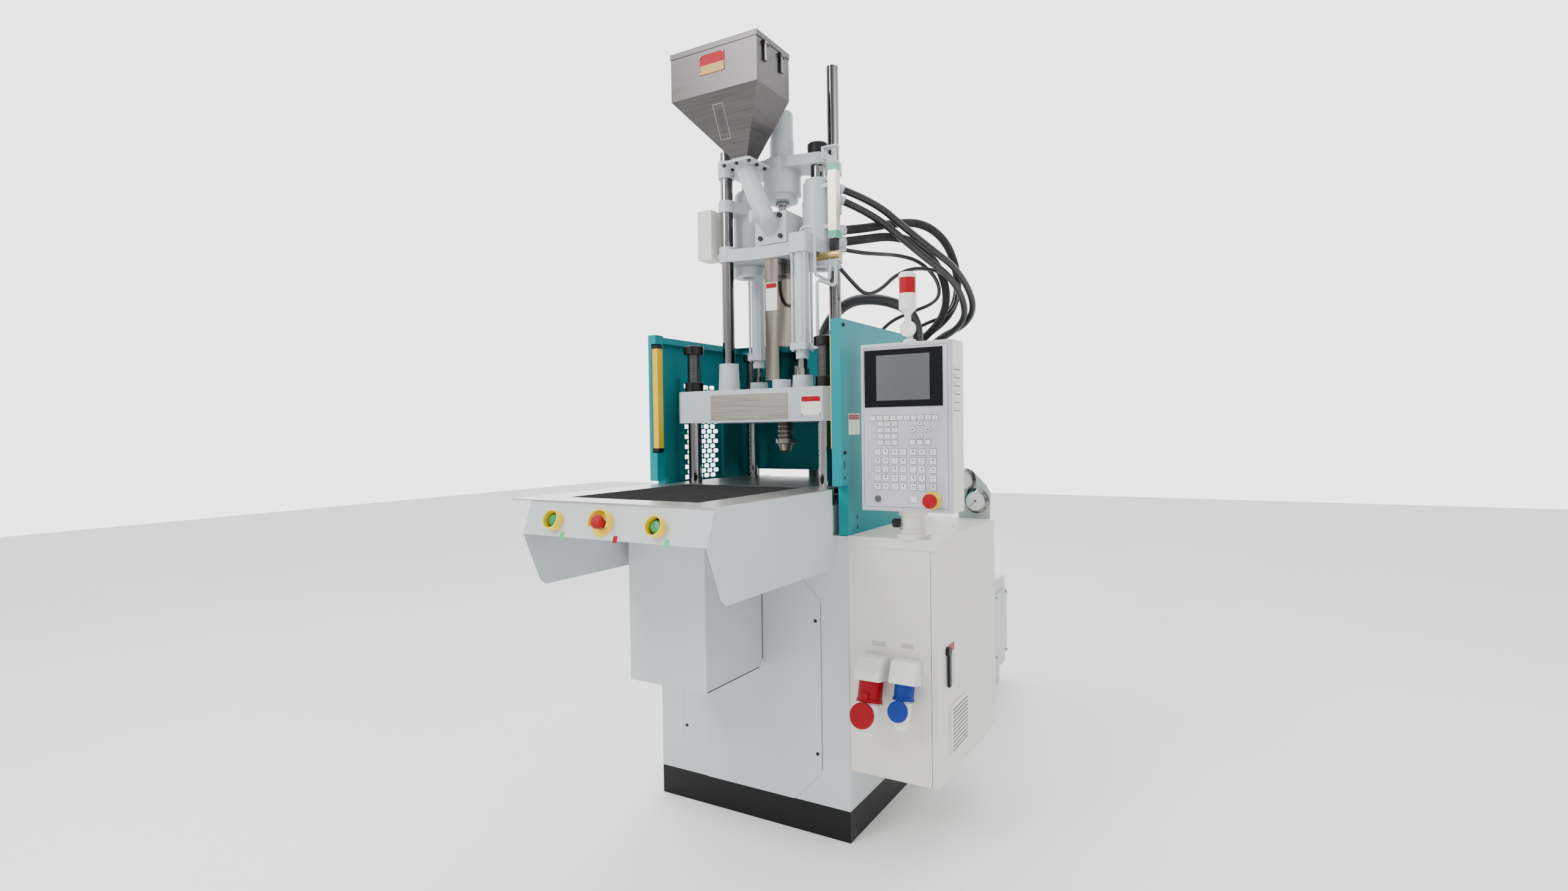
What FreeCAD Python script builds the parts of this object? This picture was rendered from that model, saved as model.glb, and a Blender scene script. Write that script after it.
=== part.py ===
import FreeCAD, Part
import math
import os
import re
import Sketcher

# Vertical injection moulding machine with a table that slides to the operator.
# Frame: origin on the floor under the nozzle, +X to the operator's right, +Y to the rear, +Z up.
# All sizes are in millimetres and degrees.

os.makedirs("parts", exist_ok=True)
doc = FreeCAD.newDocument("InjectionMouldingMachine")
sheet = doc.addObject("Spreadsheet::Sheet", "Sizes")

SIZES = {
    # machine base
    "base_wide": (810, "pedestal and plinth, side to side"),
    "base_deep": (580, "pedestal and plinth, front to back"),
    "plinth_tall": (108, "black plinth under the pedestal"),
    "bed_top": (1048, "top of the pedestal above the floor"),
    "hatch_wide": (596, "eight-sided hatch in the pedestal's front"),
    "hatch_top": (887, "top edge of the hatch above the floor"),
    "hatch_corner": (67, "cut of the hatch's upper corners"),
    "hatch_foot": (112, "cut of the hatch's lower corners"),
    "sheet_metal": (3, "thickness of covers and guards"),
    "post_left": (-256, "left side of the cover under the table"),
    "post_right": (63, "right side of the cover under the table"),
    "post_front": (-637, "front of the cover under the table"),
    "post_low": (563, "bottom of the cover under the table"),
    "post_corner": (26, "rounding of the cover's lower rear corner"),
    "post_gap": (4, "gap from the cover to the pedestal"),
    # clamp
    "bar_pitch_x": (572, "tie bars, side to side"),
    "bar_pitch_y": (420, "tie bars, front to back"),
    "bar_radius": (26, "tie bar"),
    "bar_thread": (25, "radius of the tie bar's threaded end"),
    "bar_top": (1741, "top of the tie bars above the floor"),
    "bar_low": (780, "lower end of the tie bars above the floor"),
    "clamp_stroke": (200, "travel of the upper platen"),
    "fit_gap": (0.05, "radial clearance of a running fit"),
    "bed_thick": (100, "lower platen"),
    "bed_wide": (690, "lower platen, side to side"),
    "bed_deep": (550, "lower platen, front to back"),
    "arm_wide": (590, "arm under the table, side to side"),
    "arm_thick": (48, "arm under the table"),
    "arm_front": (-960, "front end of the arm"),
    "platen_wide": (675, "upper platen, side to side"),
    "platen_deep": (540, "upper platen, front to back"),
    "platen_low": (1440, "underside of the upper platen above the floor"),
    "platen_thick": (120, "upper platen"),
    "platen_corner": (30, "chamfer of the platen's upright corners"),
    "nozzle_hole": (60, "radius of the hole for the nozzle"),
    "mould_bolt_x": (400, "mould bolt holes, side to side"),
    "mould_bolt_y": (300, "mould bolt holes, front to back"),
    "mould_bolt_radius": (8.5, "mould bolt holes"),
    "mould_bolt_deep": (40, "mould bolt holes in the upper platen"),
    "nut_radius": (39.5, "slotted ring nut"),
    "nut_tall": (32, "slotted ring nut"),
    "nut_slot": (11, "width and depth of the ring nut's slots"),
    "collar_radius": (35.5, "ring nut that seats on the platen"),
    "collar_tall": (37, "ring nut that seats on the platen"),
    # guide rods and their bosses on the platen
    "rod_radius": (24, "guide rod of the injection unit"),
    "rod_top": (2833, "top of the guide rods above the floor"),
    "rod_left_top": (2492, "top of the left guide rod, under the hopper's slope"),
    "rod_left_x": (-184, "front left guide rod"),
    "rod_left_y": (-118, "front left guide rod"),
    "rod_right_x": (165, "rear right guide rod"),
    "rod_right_y": (118, "rear right guide rod"),
    "boss_tall": (110, "guide rod boss on the platen"),
    "boss_radius": (42, "foot of the guide rod boss"),
    "boss_tip": (38, "top of the guide rod boss"),
    "seat_deep": (60, "depth of the rods' seats"),
    # sliding table
    "rail_apart": (300, "slide rails, centre to centre"),
    "rail_wide": (28, "slide rail"),
    "rail_tall": (22, "slide rail"),
    "slide_gap": (0.3, "clearance of the runners on the rails"),
    "runner_wide": (70, "runner block, side to side"),
    "runner_long": (100, "runner block, front to back"),
    "table_top": (1211, "table surface above the floor"),
    "slide_thick": (25, "sliding plate"),
    "slide_wide": (490, "sliding plate, side to side"),
    "slide_front": (-310, "front edge of the sliding plate"),
    "slide_rear": (230, "rear edge of the sliding plate"),
    "slide_stroke": (500, "travel of the sliding plate to the front"),
    "table_left": (-385, "left edge of the table's front part"),
    "table_right": (376, "right edge of the table's front part"),
    "table_front": (-1019, "front edge of the table"),
    "table_neck": (-340, "where the table top narrows between the guards"),
    "slot_half": (250, "half width of the slot in the table top"),
    "slot_front": (-913, "front end of the slot in the table top"),
    "table_rear": (290, "rear edge of the table top"),
    "arm_gap": (5, "from the arm's left side to the table's left wing"),
    "strip_lean": (36, "how far the button strip's foot stands forward"),
    "strip_tall": (98, "height of the button strip"),
    "wing_low": (945, "lower edge of the table's wings"),
    "wing_rear": (-342, "rear edge of the table's wings"),
    "wing_set": (62, "how far the wing's lower tip stands back"),
    "fold_count": (24, "folds of the bellows"),
    "fold_tall": (20, "height of the bellows' folds"),
    "fold_sheet": (2, "thickness of the bellows"),
    "bellows_left": (-246, "left side of the bellows"),
    "bellows_right": (246, "right side of the bellows"),
    # push buttons on the strip
    "button_drop": (58, "button centres below the table surface"),
    "button_left_x": (-179, "left start button"),
    "button_mid_x": (6, "stop button"),
    "button_right_x": (204, "right start button"),
    "button_stem": (11, "radius of a button's stem"),
    "button_head": (17, "radius of a start button's head"),
    "button_stroke": (4, "travel of a button"),
    "ring_radius": (28.5, "yellow ring round a start button"),
    "ring_wall": (3, "wall of a yellow ring"),
    "ring_tall": (26, "height of a yellow ring"),
    "stop_radius": (20, "stop button's mushroom head"),
    "shield_radius": (37, "yellow shield round the stop button"),
    # guards round the mould
    "guard_left": (-409, "outside of the left guard"),
    "guard_right": (409, "outside of the right guard"),
    "guard_front": (-335, "front of the guards"),
    "guard_low": (1221, "lower end of the guards' front posts"),
    "guard_top": (1778, "top of the guards"),
    "guard_back": (303, "rear face of the guards"),
    "post_wide": (36, "guard post, side to side"),
    "post_deep": (46, "guard post, front to back"),
    "mesh_front": (-127, "front of the perforated field"),
    "mesh_low": (1212, "bottom of the perforated field"),
    "mesh_rows": (19, "rows of holes"),
    "mesh_columns": (5, "holes in a row"),
    "mesh_pitch_y": (45, "pitch of the holes along a row"),
    "mesh_pitch_z": (20.6, "pitch of the rows"),
    "mesh_hole_y": (38, "length of a hole"),
    "mesh_hole_z": (17, "height of a hole"),
    "mesh_cut": (4.5, "cut corners of a hole"),
    "curtain_long": (408, "light curtain bar"),
    "curtain_low": (1332, "lower end of the light curtain above the floor"),
    "curtain_wide": (26, "light curtain bar, side to side"),
    "curtain_set": (21, "how far a light curtain stands in its post"),
    "curtain_deep": (30, "light curtain bar, front to back"),
    # injection unit
    "junction_right": (-230, "right side of the terminal box"),
    "touch_stroke": (80, "travel of the injection unit on its rods"),
    "shot_stroke": (35, "travel of the injection crosshead"),
    "plate_low": (2064, "underside of the carriage above the floor"),
    "plate_tall": (47, "carriage plate"),
    "sleeve_radius": (32, "guide sleeve of the carriage"),
    "lug_low": (2257, "upper guide lug of the carriage"),
    "lug_tall": (45, "upper guide lug of the carriage"),
    "shot_apart": (316, "injection cylinders, centre to centre"),
    "shot_radius": (62, "injection cylinder"),
    "shot_top": (2359, "top of the injection cylinders above the floor"),
    "shot_cap": (66, "radius of the cylinders' lower caps"),
    "piston_rod": (28, "radius of the injection piston rods"),
    "cross_low": (2413, "underside of the crosshead above the floor"),
    "cross_tall": (40, "crosshead"),
    "drum_radius": (74, "bearing housing under the crosshead"),
    "drum_low": (2322, "lower end of the bearing housing above the floor"),
    "motor_radius": (47, "hydraulic motor"),
    "motor_top": (2648, "top of the hydraulic motor above the floor"),
    "cap_radius": (39, "cap nut of an injection piston rod"),
    "cap_tall": (44, "cap nut of an injection piston rod"),
    "feed_front": (-120, "front of the feed block"),
    "feed_left": (-60, "left side of the feed block"),
    "feed_right": (84, "right side of the feed block"),
    "feed_top": (2232, "top of the feed block above the floor"),
    "barrel_radius": (33, "plasticising barrel"),
    "screw_radius": (16, "plasticising screw"),
    "spindle": (20, "radius of the screw's spindle in the crosshead"),
    "nozzle_top": (1480, "top of the nozzle above the floor"),
    "nozzle_tip": (1320, "nozzle tip above the floor"),
    "heater_radius": (30.5, "heater band on the nozzle"),
    "cover_low": (1600, "lower edge of the barrel's cover"),
    "cover_front": (-102, "front of the barrel's cover"),
    "cover_x": (5, "middle of the cover's front face"),
    "cover_sheet": (1.5, "thickness of the barrel's cover"),
    "cover_half": (30, "half width of the cover's front face"),
    "cover_flare": (58, "half width of the cover at its open side"),
    "touch_x": (172, "right nozzle contact cylinder"),
    "touch_y": (-165, "right nozzle contact cylinder"),
    "touch_left_x": (-192, "left nozzle contact cylinder"),
    "touch_left_y": (115, "left nozzle contact cylinder"),
    "touch_radius": (28, "tube of a contact cylinder"),
    "touch_head": (71, "side of a contact cylinder's square heads"),
    "touch_top": (2121, "top of the right contact cylinder above the floor"),
    "touch_low": (1700, "lower end of the contact cylinders above the floor"),
    "touch_rod": (15, "rod of a contact cylinder"),
    "pipe_radius": (6, "steel pipe"),
    "touch_boss": (1608, "top of the contact rods' bosses above the floor"),
    # hopper
    "hopper_left": (-292, "left side of the hopper"),
    "hopper_right": (87, "right side of the hopper"),
    "hopper_front": (-316, "front of the hopper"),
    "hopper_back": (-90, "back of the hopper"),
    "hopper_low": (2641, "lower edge of the hopper's box above the floor"),
    "hopper_top": (2815, "top of the hopper above the floor"),
    "hopper_wall": (2, "wall of the hopper"),
    "neck_x": (-57, "hopper neck"),
    "neck_y": (-182, "hopper neck"),
    "neck_half": (35, "half side of the hopper neck"),
    "neck_low": (2408, "lower end of the hopper's neck above the floor"),
    "flange_half": (67, "half side of the flange under the hopper"),
    "flange_thick": (8, "flange under the hopper"),
    "feed_radius": (36, "feed tube"),
    "feed_middle": (15, "middle of the feed tube's mouth on the feed block"),
    "feed_end_z": (2190, "feed tube's end above the floor"),
    "lid_tall": (20, "hopper lid"),
    "latch_wide": (22, "toggle latch"),
    "latch_long": (62, "toggle latch lever"),
    "latch_front_y": (-262, "front latch"),
    "latch_rear_y": (-150, "rear latch"),
    # electric cabinet
    "cabinet_wide": (312, "cabinet, side to side"),
    "cabinet_front": (-286, "front of the cabinet"),
    "cabinet_rear": (377, "rear of the cabinet"),
    "cabinet_low": (251, "bottom of the cabinet above the floor"),
    "cabinet_top": (1050, "top of the cabinet above the floor"),
    "cabinet_lip": (34, "lip of the cabinet's lid"),
    "cabinet_wall": (3, "wall of the cabinet"),
    "door_thick": (20, "cabinet door"),
    "vent_front": (-172, "front of the door's vent"),
    "vent_long": (176, "length of the door's vent"),
    "vent_low": (322, "bottom of the door's vent"),
    "vent_tall": (162, "height of the door's vent"),
    "vent_slats": (11, "slats in the vent"),
    # power sockets on the cabinet
    "red_x": (506, "red socket"),
    "blue_x": (619, "blue socket"),
    "socket_top": (660, "top of the sockets' white housings"),
    "socket_lean": (17, "lean of the sockets' outlets, degrees"),
    # control box
    "desk_left": (463, "left side of the control box"),
    "desk_wide": (315, "control box, side to side"),
    "desk_front": (-300, "front of the control box"),
    "desk_deep": (114, "control box, front to back"),
    "desk_low": (1141, "bottom of the control box above the floor"),
    "desk_tall": (546, "control box"),
    "desk_column": (39, "radius of the column under the control box"),
    "desk_flange": (58, "radius of the column's flange"),
    "lamp_radius": (28, "alarm lamp"),
    "lamp_low": (1795, "lower end of the lamp's body above the floor"),
    "lamp_top": (1914, "top of the alarm lamp above the floor"),
    "lamp_pivot": (1733, "folding joint of the alarm lamp above the floor"),
    # rear unit
    "tank_left": (-330, "left side of the oil tank"),
    "tank_right": (396, "right side of the oil tank"),
    "tank_rear": (1730, "rear of the oil tank"),
    "tank_low": (96, "bottom of the oil tank above the floor"),
    "tank_top": (580, "top of the oil tank above the floor"),
    "tank_plate": (12, "cover plate on the tank's side"),
    "block_y": (760, "valve block"),
    "block_top": (1290, "top of the valve block's hose unions above the floor"),
    "gauge_y": (400, "front face of the gauge bracket"),
    "gauge_radius": (49, "pressure gauge"),
}

for row, (alias, (number, meaning)) in enumerate(SIZES.items(), 1):
    sheet.set("A%d" % row, meaning)
    sheet.set("B%d" % row, str(number))
    sheet.setAlias("B%d" % row, alias)
doc.recompute()

# Hoses: radius, and the corners of each one's route from the injection unit to the valve block.
HOSES = {
    "hose_long_a": (14, [(242, 52, 2322), (340, 118, 2277), (421, 240, 2187), (482, 380, 2122), (523, 500, 2078),
                         (542, 640, 2008), (540, 730, 1926), (480, 770, 1862), (385, 775, 1830), (290, 770, 1760),
                         (255, 765, 1620), (250, 760, 1450), (250, 760, 1290)]),
    "hose_long_b": (14, [(242, 52, 2278), (330, 122, 2232), (406, 246, 2150), (458, 390, 2086), (500, 510, 2042),
                         (515, 640, 1972), (503, 721, 1892), (438, 743, 1834), (345, 738, 1792), (228, 732, 1720),
                         (180, 755, 1590), (160, 760, 1440), (160, 760, 1290)]),
    "hose_sleeve_a": (17, [(242, 52, 2170), (296, 124, 2184), (354, 262, 2226), (424, 410, 2250), (468, 560, 2205),
                           (476, 680, 2110), (455, 770, 2000), (385, 830, 1910), (270, 850, 1840), (140, 840, 1740),
                           (78, 795, 1600), (70, 760, 1440), (70, 760, 1290)]),
    "hose_sleeve_b": (17, [(242, 52, 2126), (290, 112, 2140), (350, 240, 2172), (405, 380, 2168), (446, 520, 2100),
                           (450, 630, 2010), (410, 720, 1920), (320, 785, 1845), (190, 800, 1760), (55, 790, 1670),
                           (-15, 770, 1550), (-20, 760, 1420), (-20, 760, 1290)]),
    "hose_thin": (8, [(226, 46, 2024), (262, 70, 1974), (292, 130, 1926), (322, 210, 1958), (352, 290, 2026),
                      (395, 400, 2070), (463, 524, 2066), (492, 634, 2030), (464, 720, 1968), (402, 772, 1915),
                      (300, 778, 1890), (180, 744, 1826), (60, 730, 1740), (-40, 740, 1640), (-95, 755, 1520),
                      (-110, 760, 1400), (-110, 760, 1290)]),
    "hose_loop": (8, [(242, 62, 2096), (290, 100, 2086), (325, 190, 2094), (345, 320, 2112), (395, 430, 2104),
                      (430, 540, 2052), (418, 640, 1996), (360, 700, 1962), (260, 720, 1940), (150, 700, 1900),
                      (80, 690, 1820), (42, 690, 1710), (28, 710, 1570), (25, 760, 1430), (25, 760, 1290)]),
    "hose_arch": (24, [(-60, 345, 580), (-60, 345, 900), (-60, 342, 1230), (-55, 342, 1520), (-40, 350, 1790),
                       (59, 400, 1960), (198, 480, 1975), (320, 590, 1920), (310, 660, 1740), (240, 650, 1500),
                       (195, 650, 1200), (190, 650, 880), (190, 650, 580)]),
}

V = FreeCAD.Vector
UP = V(0, 0, 1)
RIGHT = V(1, 0, 0)
BACK = V(0, 1, 0)
nodes = []


# ---------------------------------------------------------------- building blocks

def bound(text):
    """The text with each size's alias pointing at its cell."""
    return re.sub(r"[a-z][a-z_0-9]*", lambda word: "Sizes." + word[0] if word[0] in SIZES else word[0],
                  str(text))


def value(text):
    """The number that an expression has now."""
    return float(sheet.evalExpression(bound(text)))


def point(x, y, z):
    return V(value(x), value(y), value(z))


def place(solid, at, direction=UP, spin=0):
    """Put a solid at a point, with its own Z along the direction."""
    turn = FreeCAD.Rotation(UP, direction) * FreeCAD.Rotation(UP, spin)
    solid.Placement = FreeCAD.Placement(V(0, 0, 0), turn)
    for axis, text in zip("xyz", at):
        solid.setExpression("Placement.Base." + axis, bound(text))
    return solid


def box(name, low, size):
    """A block with its low corner at a point."""
    solid = doc.addObject("Part::Box", name)
    for side, text in zip(("Length", "Width", "Height"), size):
        solid.setExpression(side, bound(text))
    return place(solid, low)


def rod(name, at, radius, length, direction=UP):
    """A cylinder that starts at a point."""
    solid = doc.addObject("Part::Cylinder", name)
    solid.setExpression("Radius", bound(radius))
    solid.setExpression("Height", bound(length))
    return place(solid, at, direction)


def cone(name, at, radius, tip, length, direction=UP):
    solid = doc.addObject("Part::Cone", name)
    solid.setExpression("Radius1", bound(radius))
    solid.setExpression("Radius2", bound(tip))
    solid.setExpression("Height", bound(length))
    return place(solid, at, direction)


def join(name, *solids):
    """One solid out of several that meet."""
    whole = doc.addObject("Part::MultiFuse", name)
    whole.Shapes = list(solids)
    whole.Refine = True
    return whole


def group(name, *solids):
    """Separate solids kept as one sub-part."""
    whole = doc.addObject("Part::Compound", name)
    whole.Links = list(solids)
    return whole


def cut(name, base, *tools):
    """The base without the tools, which don't meet each other."""
    rest = doc.addObject("Part::Cut", name)
    rest.Base = base
    rest.Tool = tools[0] if len(tools) == 1 else group(name + "_tools", *tools)
    return rest


def sketch(body, plane, outline, circles=(), holes=()):
    """A sketch on one of the body's own planes: closed outlines of straight lines, and circles."""
    drawing = body.newObject("Sketcher::SketchObject", body.Name + "_sketch")
    face = next(item for item in body.Origin.OriginFeatures if item.Role == plane + "_Plane")
    drawing.AttachmentSupport = [(face, "")]
    drawing.MapMode = "FlatFace"
    for loop in (outline, *holes):
        draw_loop(drawing, loop)
    for centre_x, centre_y, radius in circles:
        circle = Part.Circle(V(value(centre_x), value(centre_y), 0), UP, value(radius))
        number = drawing.addGeometry(circle)
        tie(drawing, "DistanceX", number, 3, centre_x)
        tie(drawing, "DistanceY", number, 3, centre_y)
        size = drawing.addConstraint(Sketcher.Constraint("Radius", number, value(radius)))
        drawing.setExpression("Constraints[%d]" % size, bound(radius))
    return drawing


def tie(drawing, kind, number, end, text):
    """Hold one coordinate of a point in a sketch to an expression."""
    size = drawing.addConstraint(Sketcher.Constraint(kind, number, end, value(text)))
    drawing.setExpression("Constraints[%d]" % size, bound(text))


def draw_loop(drawing, loop):
    corners = [V(value(x), value(y), 0) for x, y in loop]
    first = drawing.GeometryCount
    count = len(loop)
    for here in range(count):
        drawing.addGeometry(Part.LineSegment(corners[here], corners[(here + 1) % count]))
    for here in range(count):
        after = (here + 1) % count
        drawing.addConstraint(Sketcher.Constraint("Coincident", first + here, 2, first + after, 1))
    for here, (x, y) in enumerate(loop):
        tie(drawing, "DistanceX", first + here, 1, x)
        tie(drawing, "DistanceY", first + here, 1, y)


def plate(name, plane, outline, thick, at=(0, 0, 0), circles=(), holes=()):
    """A flat outline padded along its plane's normal: XY up, XZ to the front, YZ to the right."""
    body = doc.addObject("PartDesign::Body", name)
    pad = body.newObject("PartDesign::Pad", name + "_pad")
    pad.Profile = sketch(body, plane, outline, circles, holes)
    pad.setExpression("Length", bound(thick))
    return place(body, at)


def turned(name, outline, at=(0, 0, 0), direction=UP):
    """An outline of radius and height turned about its own axis."""
    body = doc.addObject("PartDesign::Body", name)
    profile = sketch(body, "XZ", outline)
    spin = body.newObject("PartDesign::Revolution", name + "_turn")
    spin.Profile = profile
    spin.ReferenceAxis = (profile, ["V_Axis"])
    spin.Angle = 360
    return place(body, at, direction)


def edges_of(solid, direction, test=lambda middle: True):
    """Numbers of the straight edges along a direction whose middle passes the test."""
    doc.recompute()
    found = []
    for number, edge in enumerate(solid.Shape.Edges, 1):
        if isinstance(edge.Curve, Part.Line) and len(edge.Vertexes) == 2:
            run = edge.Vertexes[1].Point - edge.Vertexes[0].Point
            if abs(run.normalize().dot(direction)) > 0.999 and test(edge.CenterOfMass):
                found.append(number)
    return found


def eased(name, solid, direction, radius, test=lambda middle: True, kind="Part::Fillet"):
    """The solid with the edges along a direction rounded or chamfered."""
    result = doc.addObject(kind, name)
    result.Base = solid
    size = value(radius)
    result.Edges = [(number, size, size) for number in edges_of(solid, direction, test)]
    return result


def node(name, solid):
    """Keep a finished sub-part under its own name."""
    solid.Label = name
    nodes.append(solid)
    return solid


def tilted(solid, x, y, z, direction):
    """Place a solid by a point and a direction that are worked out from the sizes."""
    for axis in "xyz":
        solid.setExpression("Placement.Base." + axis, None)
    solid.Placement = FreeCAD.Placement(V(x, y, z), FreeCAD.Rotation(UP, direction))
    return solid


def pairs(x, y):
    """The four corners of a rectangle centred on the nozzle."""
    return [("%s%s/2" % (a, x), "%s%s/2" % (b, y)) for a in ("-", "") for b in ("-", "")]


# ---------------------------------------------------------------- base

def plinth():
    return box("plinth_block", ("-base_wide/2", "-base_deep/2", 0), ("base_wide", "base_deep", "plinth_tall"))


def pedestal():
    block = box("pedestal_block", ("-base_wide/2", "-base_deep/2", "plinth_tall"),
                ("base_wide", "base_deep", "bed_top-plinth_tall"))
    wells = [rod("pedestal_well", (x, y, "bar_low-clamp_stroke-20"), "bar_radius+1",
                 "bed_top-bar_low+clamp_stroke+20")
             for x, y in pairs("bar_pitch_x", "bar_pitch_y")]
    return cut("pedestal_cut", block, *wells)


def access_hatch():
    half = "hatch_wide/2"
    outline = [("-%s+hatch_foot" % half, "plinth_tall"), ("%s-hatch_foot" % half, "plinth_tall"),
               (half, "plinth_tall+hatch_foot"), (half, "hatch_top-hatch_corner"),
               ("%s-hatch_corner" % half, "hatch_top"), ("-%s+hatch_corner" % half, "hatch_top"),
               ("-" + half, "hatch_top-hatch_corner"), ("-" + half, "plinth_tall+hatch_foot")]
    return plate("hatch_plate", "XZ", outline, "sheet_metal", at=(0, "-base_deep/2", 0))


def post_cover():
    block = box("post_block", ("post_left", "post_front", "post_low"),
                ("post_right-post_left", "-base_deep/2-post_gap-post_front",
                 "bed_top+bed_thick-arm_thick-post_low"))
    rear = value("-base_deep/2-post_gap")
    low = value("post_low")
    return eased("post_round", block, RIGHT, "post_corner",
                 lambda middle: abs(middle.y - rear) < 1 and abs(middle.z - low) < 1)


BED_FACE = "(bed_top+bed_thick)"
STRIP_TOP = "(table_top-sheet_metal)"
SKIRT_LEFT = "(-arm_wide/2-arm_gap-sheet_metal)"
SHELF_THICK = "6"


def lower_platen():
    block = box("bed_block", ("-bed_wide/2", "-bed_deep/2", "bed_top"), ("bed_wide", "bed_deep", "bed_thick"))
    arm = box("bed_arm", ("-arm_wide/2", "arm_front", BED_FACE + "-arm_thick"),
              ("arm_wide", "-bed_deep/2-arm_front", "arm_thick"))
    rails = [box("bed_rail", (x, "arm_front+10", BED_FACE), ("rail_wide", "bed_deep/2-arm_front-14", "rail_tall"))
             for x in ("-rail_apart/2-rail_wide/2", "rail_apart/2-rail_wide/2")]
    posts = [box("bed_post", (x, y, BED_FACE), (28, 34, STRIP_TOP + "-" + BED_FACE + drop))
             for y, drop in ((-900, "-" + SHELF_THICK), (-620, "-" + SHELF_THICK), (-340, ""), (-20, ""), (240, ""))
             for x, drop in (("-arm_wide/2+5", drop), ("arm_wide/2-33", ""))]
    bushes = [rod("bed_bush", (x, y, "bed_top-1"), "bar_radius+fit_gap", "bed_thick+2")
              for x, y in pairs("bar_pitch_x", "bar_pitch_y")]
    return cut("bed_cut", join("bed_join", block, arm, *rails, *posts), *bushes)


# ---------------------------------------------------------------- sliding table

def table_top():
    rear_half = "(guard_right-post_wide-24)"
    outline = [("table_left", "table_front"), ("table_right", "table_front"), ("table_right", "table_neck"),
               (rear_half, "table_neck"), (rear_half, "table_rear"), ("slot_half", "table_rear"),
               ("slot_half", "slot_front"), ("-slot_half", "slot_front"), ("-slot_half", "table_rear"),
               ("-" + rear_half, "table_rear"), ("-" + rear_half, "table_neck"), ("table_left", "table_neck")]
    bars = [(x, y, "bar_radius+3") for x, y in pairs("bar_pitch_x", "bar_pitch_y")]
    return plate("top_plate", "XY", outline, "sheet_metal", at=(0, 0, "table_top-sheet_metal"), circles=bars)


STRIP_FOOT = "(table_top-sheet_metal-strip_tall)"
STRIP_FACE = "(table_front+4)"


def wing_outline():
    """A wing seen from the side: button strip's slope, cut tip and straight rear edge."""
    foot = "(%s-strip_lean)" % STRIP_FACE
    return [("wing_rear", "wing_low"), ("wing_rear", STRIP_TOP), (STRIP_FACE, STRIP_TOP), (foot, STRIP_FOOT),
            ("%s+wing_set" % foot, "wing_low+18"), ("%s+wing_set+22" % foot, "wing_low")]


def table_skirt():
    """Button strip with its two side wings, folded from sheet."""
    wings = [plate("skirt_wing", "YZ", wing_outline(), "sheet_metal", at=(x, 0, 0))
             for x in (SKIRT_LEFT, "table_right-sheet_metal")]
    foot = "(%s-strip_lean)" % STRIP_FACE
    strip = [(STRIP_FACE, STRIP_TOP), (foot, STRIP_FOOT), ("%s+24" % foot, STRIP_FOOT),
             ("%s+24" % foot, STRIP_FOOT + "+sheet_metal"),
             ("%s+sheet_metal+2" % foot, STRIP_FOOT + "+sheet_metal"),
             ("%s+sheet_metal" % STRIP_FACE, STRIP_TOP)]
    front = plate("skirt_strip", "YZ", strip, "table_right-" + SKIRT_LEFT, at=(SKIRT_LEFT, 0, 0))
    shelves = [box("skirt_shelf", (x, "arm_front", STRIP_TOP + "-" + SHELF_THICK),
                   ("30", "wing_rear-arm_front-10", SHELF_THICK))
               for x in (SKIRT_LEFT + "+sheet_metal", "table_right-sheet_metal-30")]
    whole = join("skirt_join", front, *wings, *shelves)
    holes = [strip_piece(rod("skirt_hole", (0, 0, 0), "button_stem+slide_gap", 40), x, -30)
             for x in ("button_left_x", "button_mid_x", "button_right_x")]
    return cut("skirt_cut", whole, *holes)


def strip_normal():
    """The direction that the button strip faces: forward and a little up."""
    lean = math.atan2(value("strip_lean"), value("strip_tall"))
    return V(0, -math.cos(lean), math.sin(lean))


def strip_piece(solid, x, out):
    """Put a piece square on the button strip, its foot a distance out from the sheet."""
    normal = strip_normal()
    level = value("table_top-button_drop")
    drop = value(STRIP_TOP) - level
    on_face = V(value(x), value(STRIP_FACE) - value("strip_lean") * drop / value("strip_tall"), level)
    foot = on_face + normal * out
    return tilted(solid, foot.x, foot.y, foot.z, normal)


def button_guards():
    """Two full yellow rings and one open shield."""
    rings = []
    for x in ("button_left_x", "button_right_x"):
        rings.append(strip_piece(turned("guard_ring", [("ring_radius-ring_wall", 2), ("ring_radius", 0),
                                                       ("ring_radius", "ring_tall"),
                                                       ("ring_radius-ring_wall", "ring_tall")]), x, 0))
    shell = turned("shield_shell", [("button_head+slide_gap", 0), ("shield_radius", 0), ("shield_radius", "ring_tall"),
                                    ("shield_radius-ring_wall", "ring_tall"), ("shield_radius-ring_wall", 4),
                                    ("button_head+slide_gap", 4)])
    gap = box("shield_gap", ("-shield_radius", "-shield_radius-5", 4), ("2*shield_radius", "shield_radius*0.8", 60))
    rings.append(strip_piece(cut("shield_cut", shell, gap), "button_mid_x", 0))
    return group("guards_all", *rings)


def start_button(x):
    head = turned("start_body", [(0, -34), ("button_stem", -34), ("button_stem", "button_stroke+1"),
                                 ("button_head", "button_stroke+1"), ("button_head", "button_stroke+8"),
                                 ("button_head-3", "button_stroke+11"), (0, "button_stroke+12")])
    return strip_piece(head, x, 0)


def stop_button():
    head = turned("stop_body", [(0, -34), ("button_stem", -34), ("button_stem", "button_stroke+10"),
                                ("stop_radius-4", "button_stroke+10"), ("stop_radius", "button_stroke+18"),
                                ("stop_radius", "button_stroke+26"), ("stop_radius-5", "button_stroke+31"),
                                (0, "button_stroke+33")])
    return strip_piece(head, "button_mid_x", 0)


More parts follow.
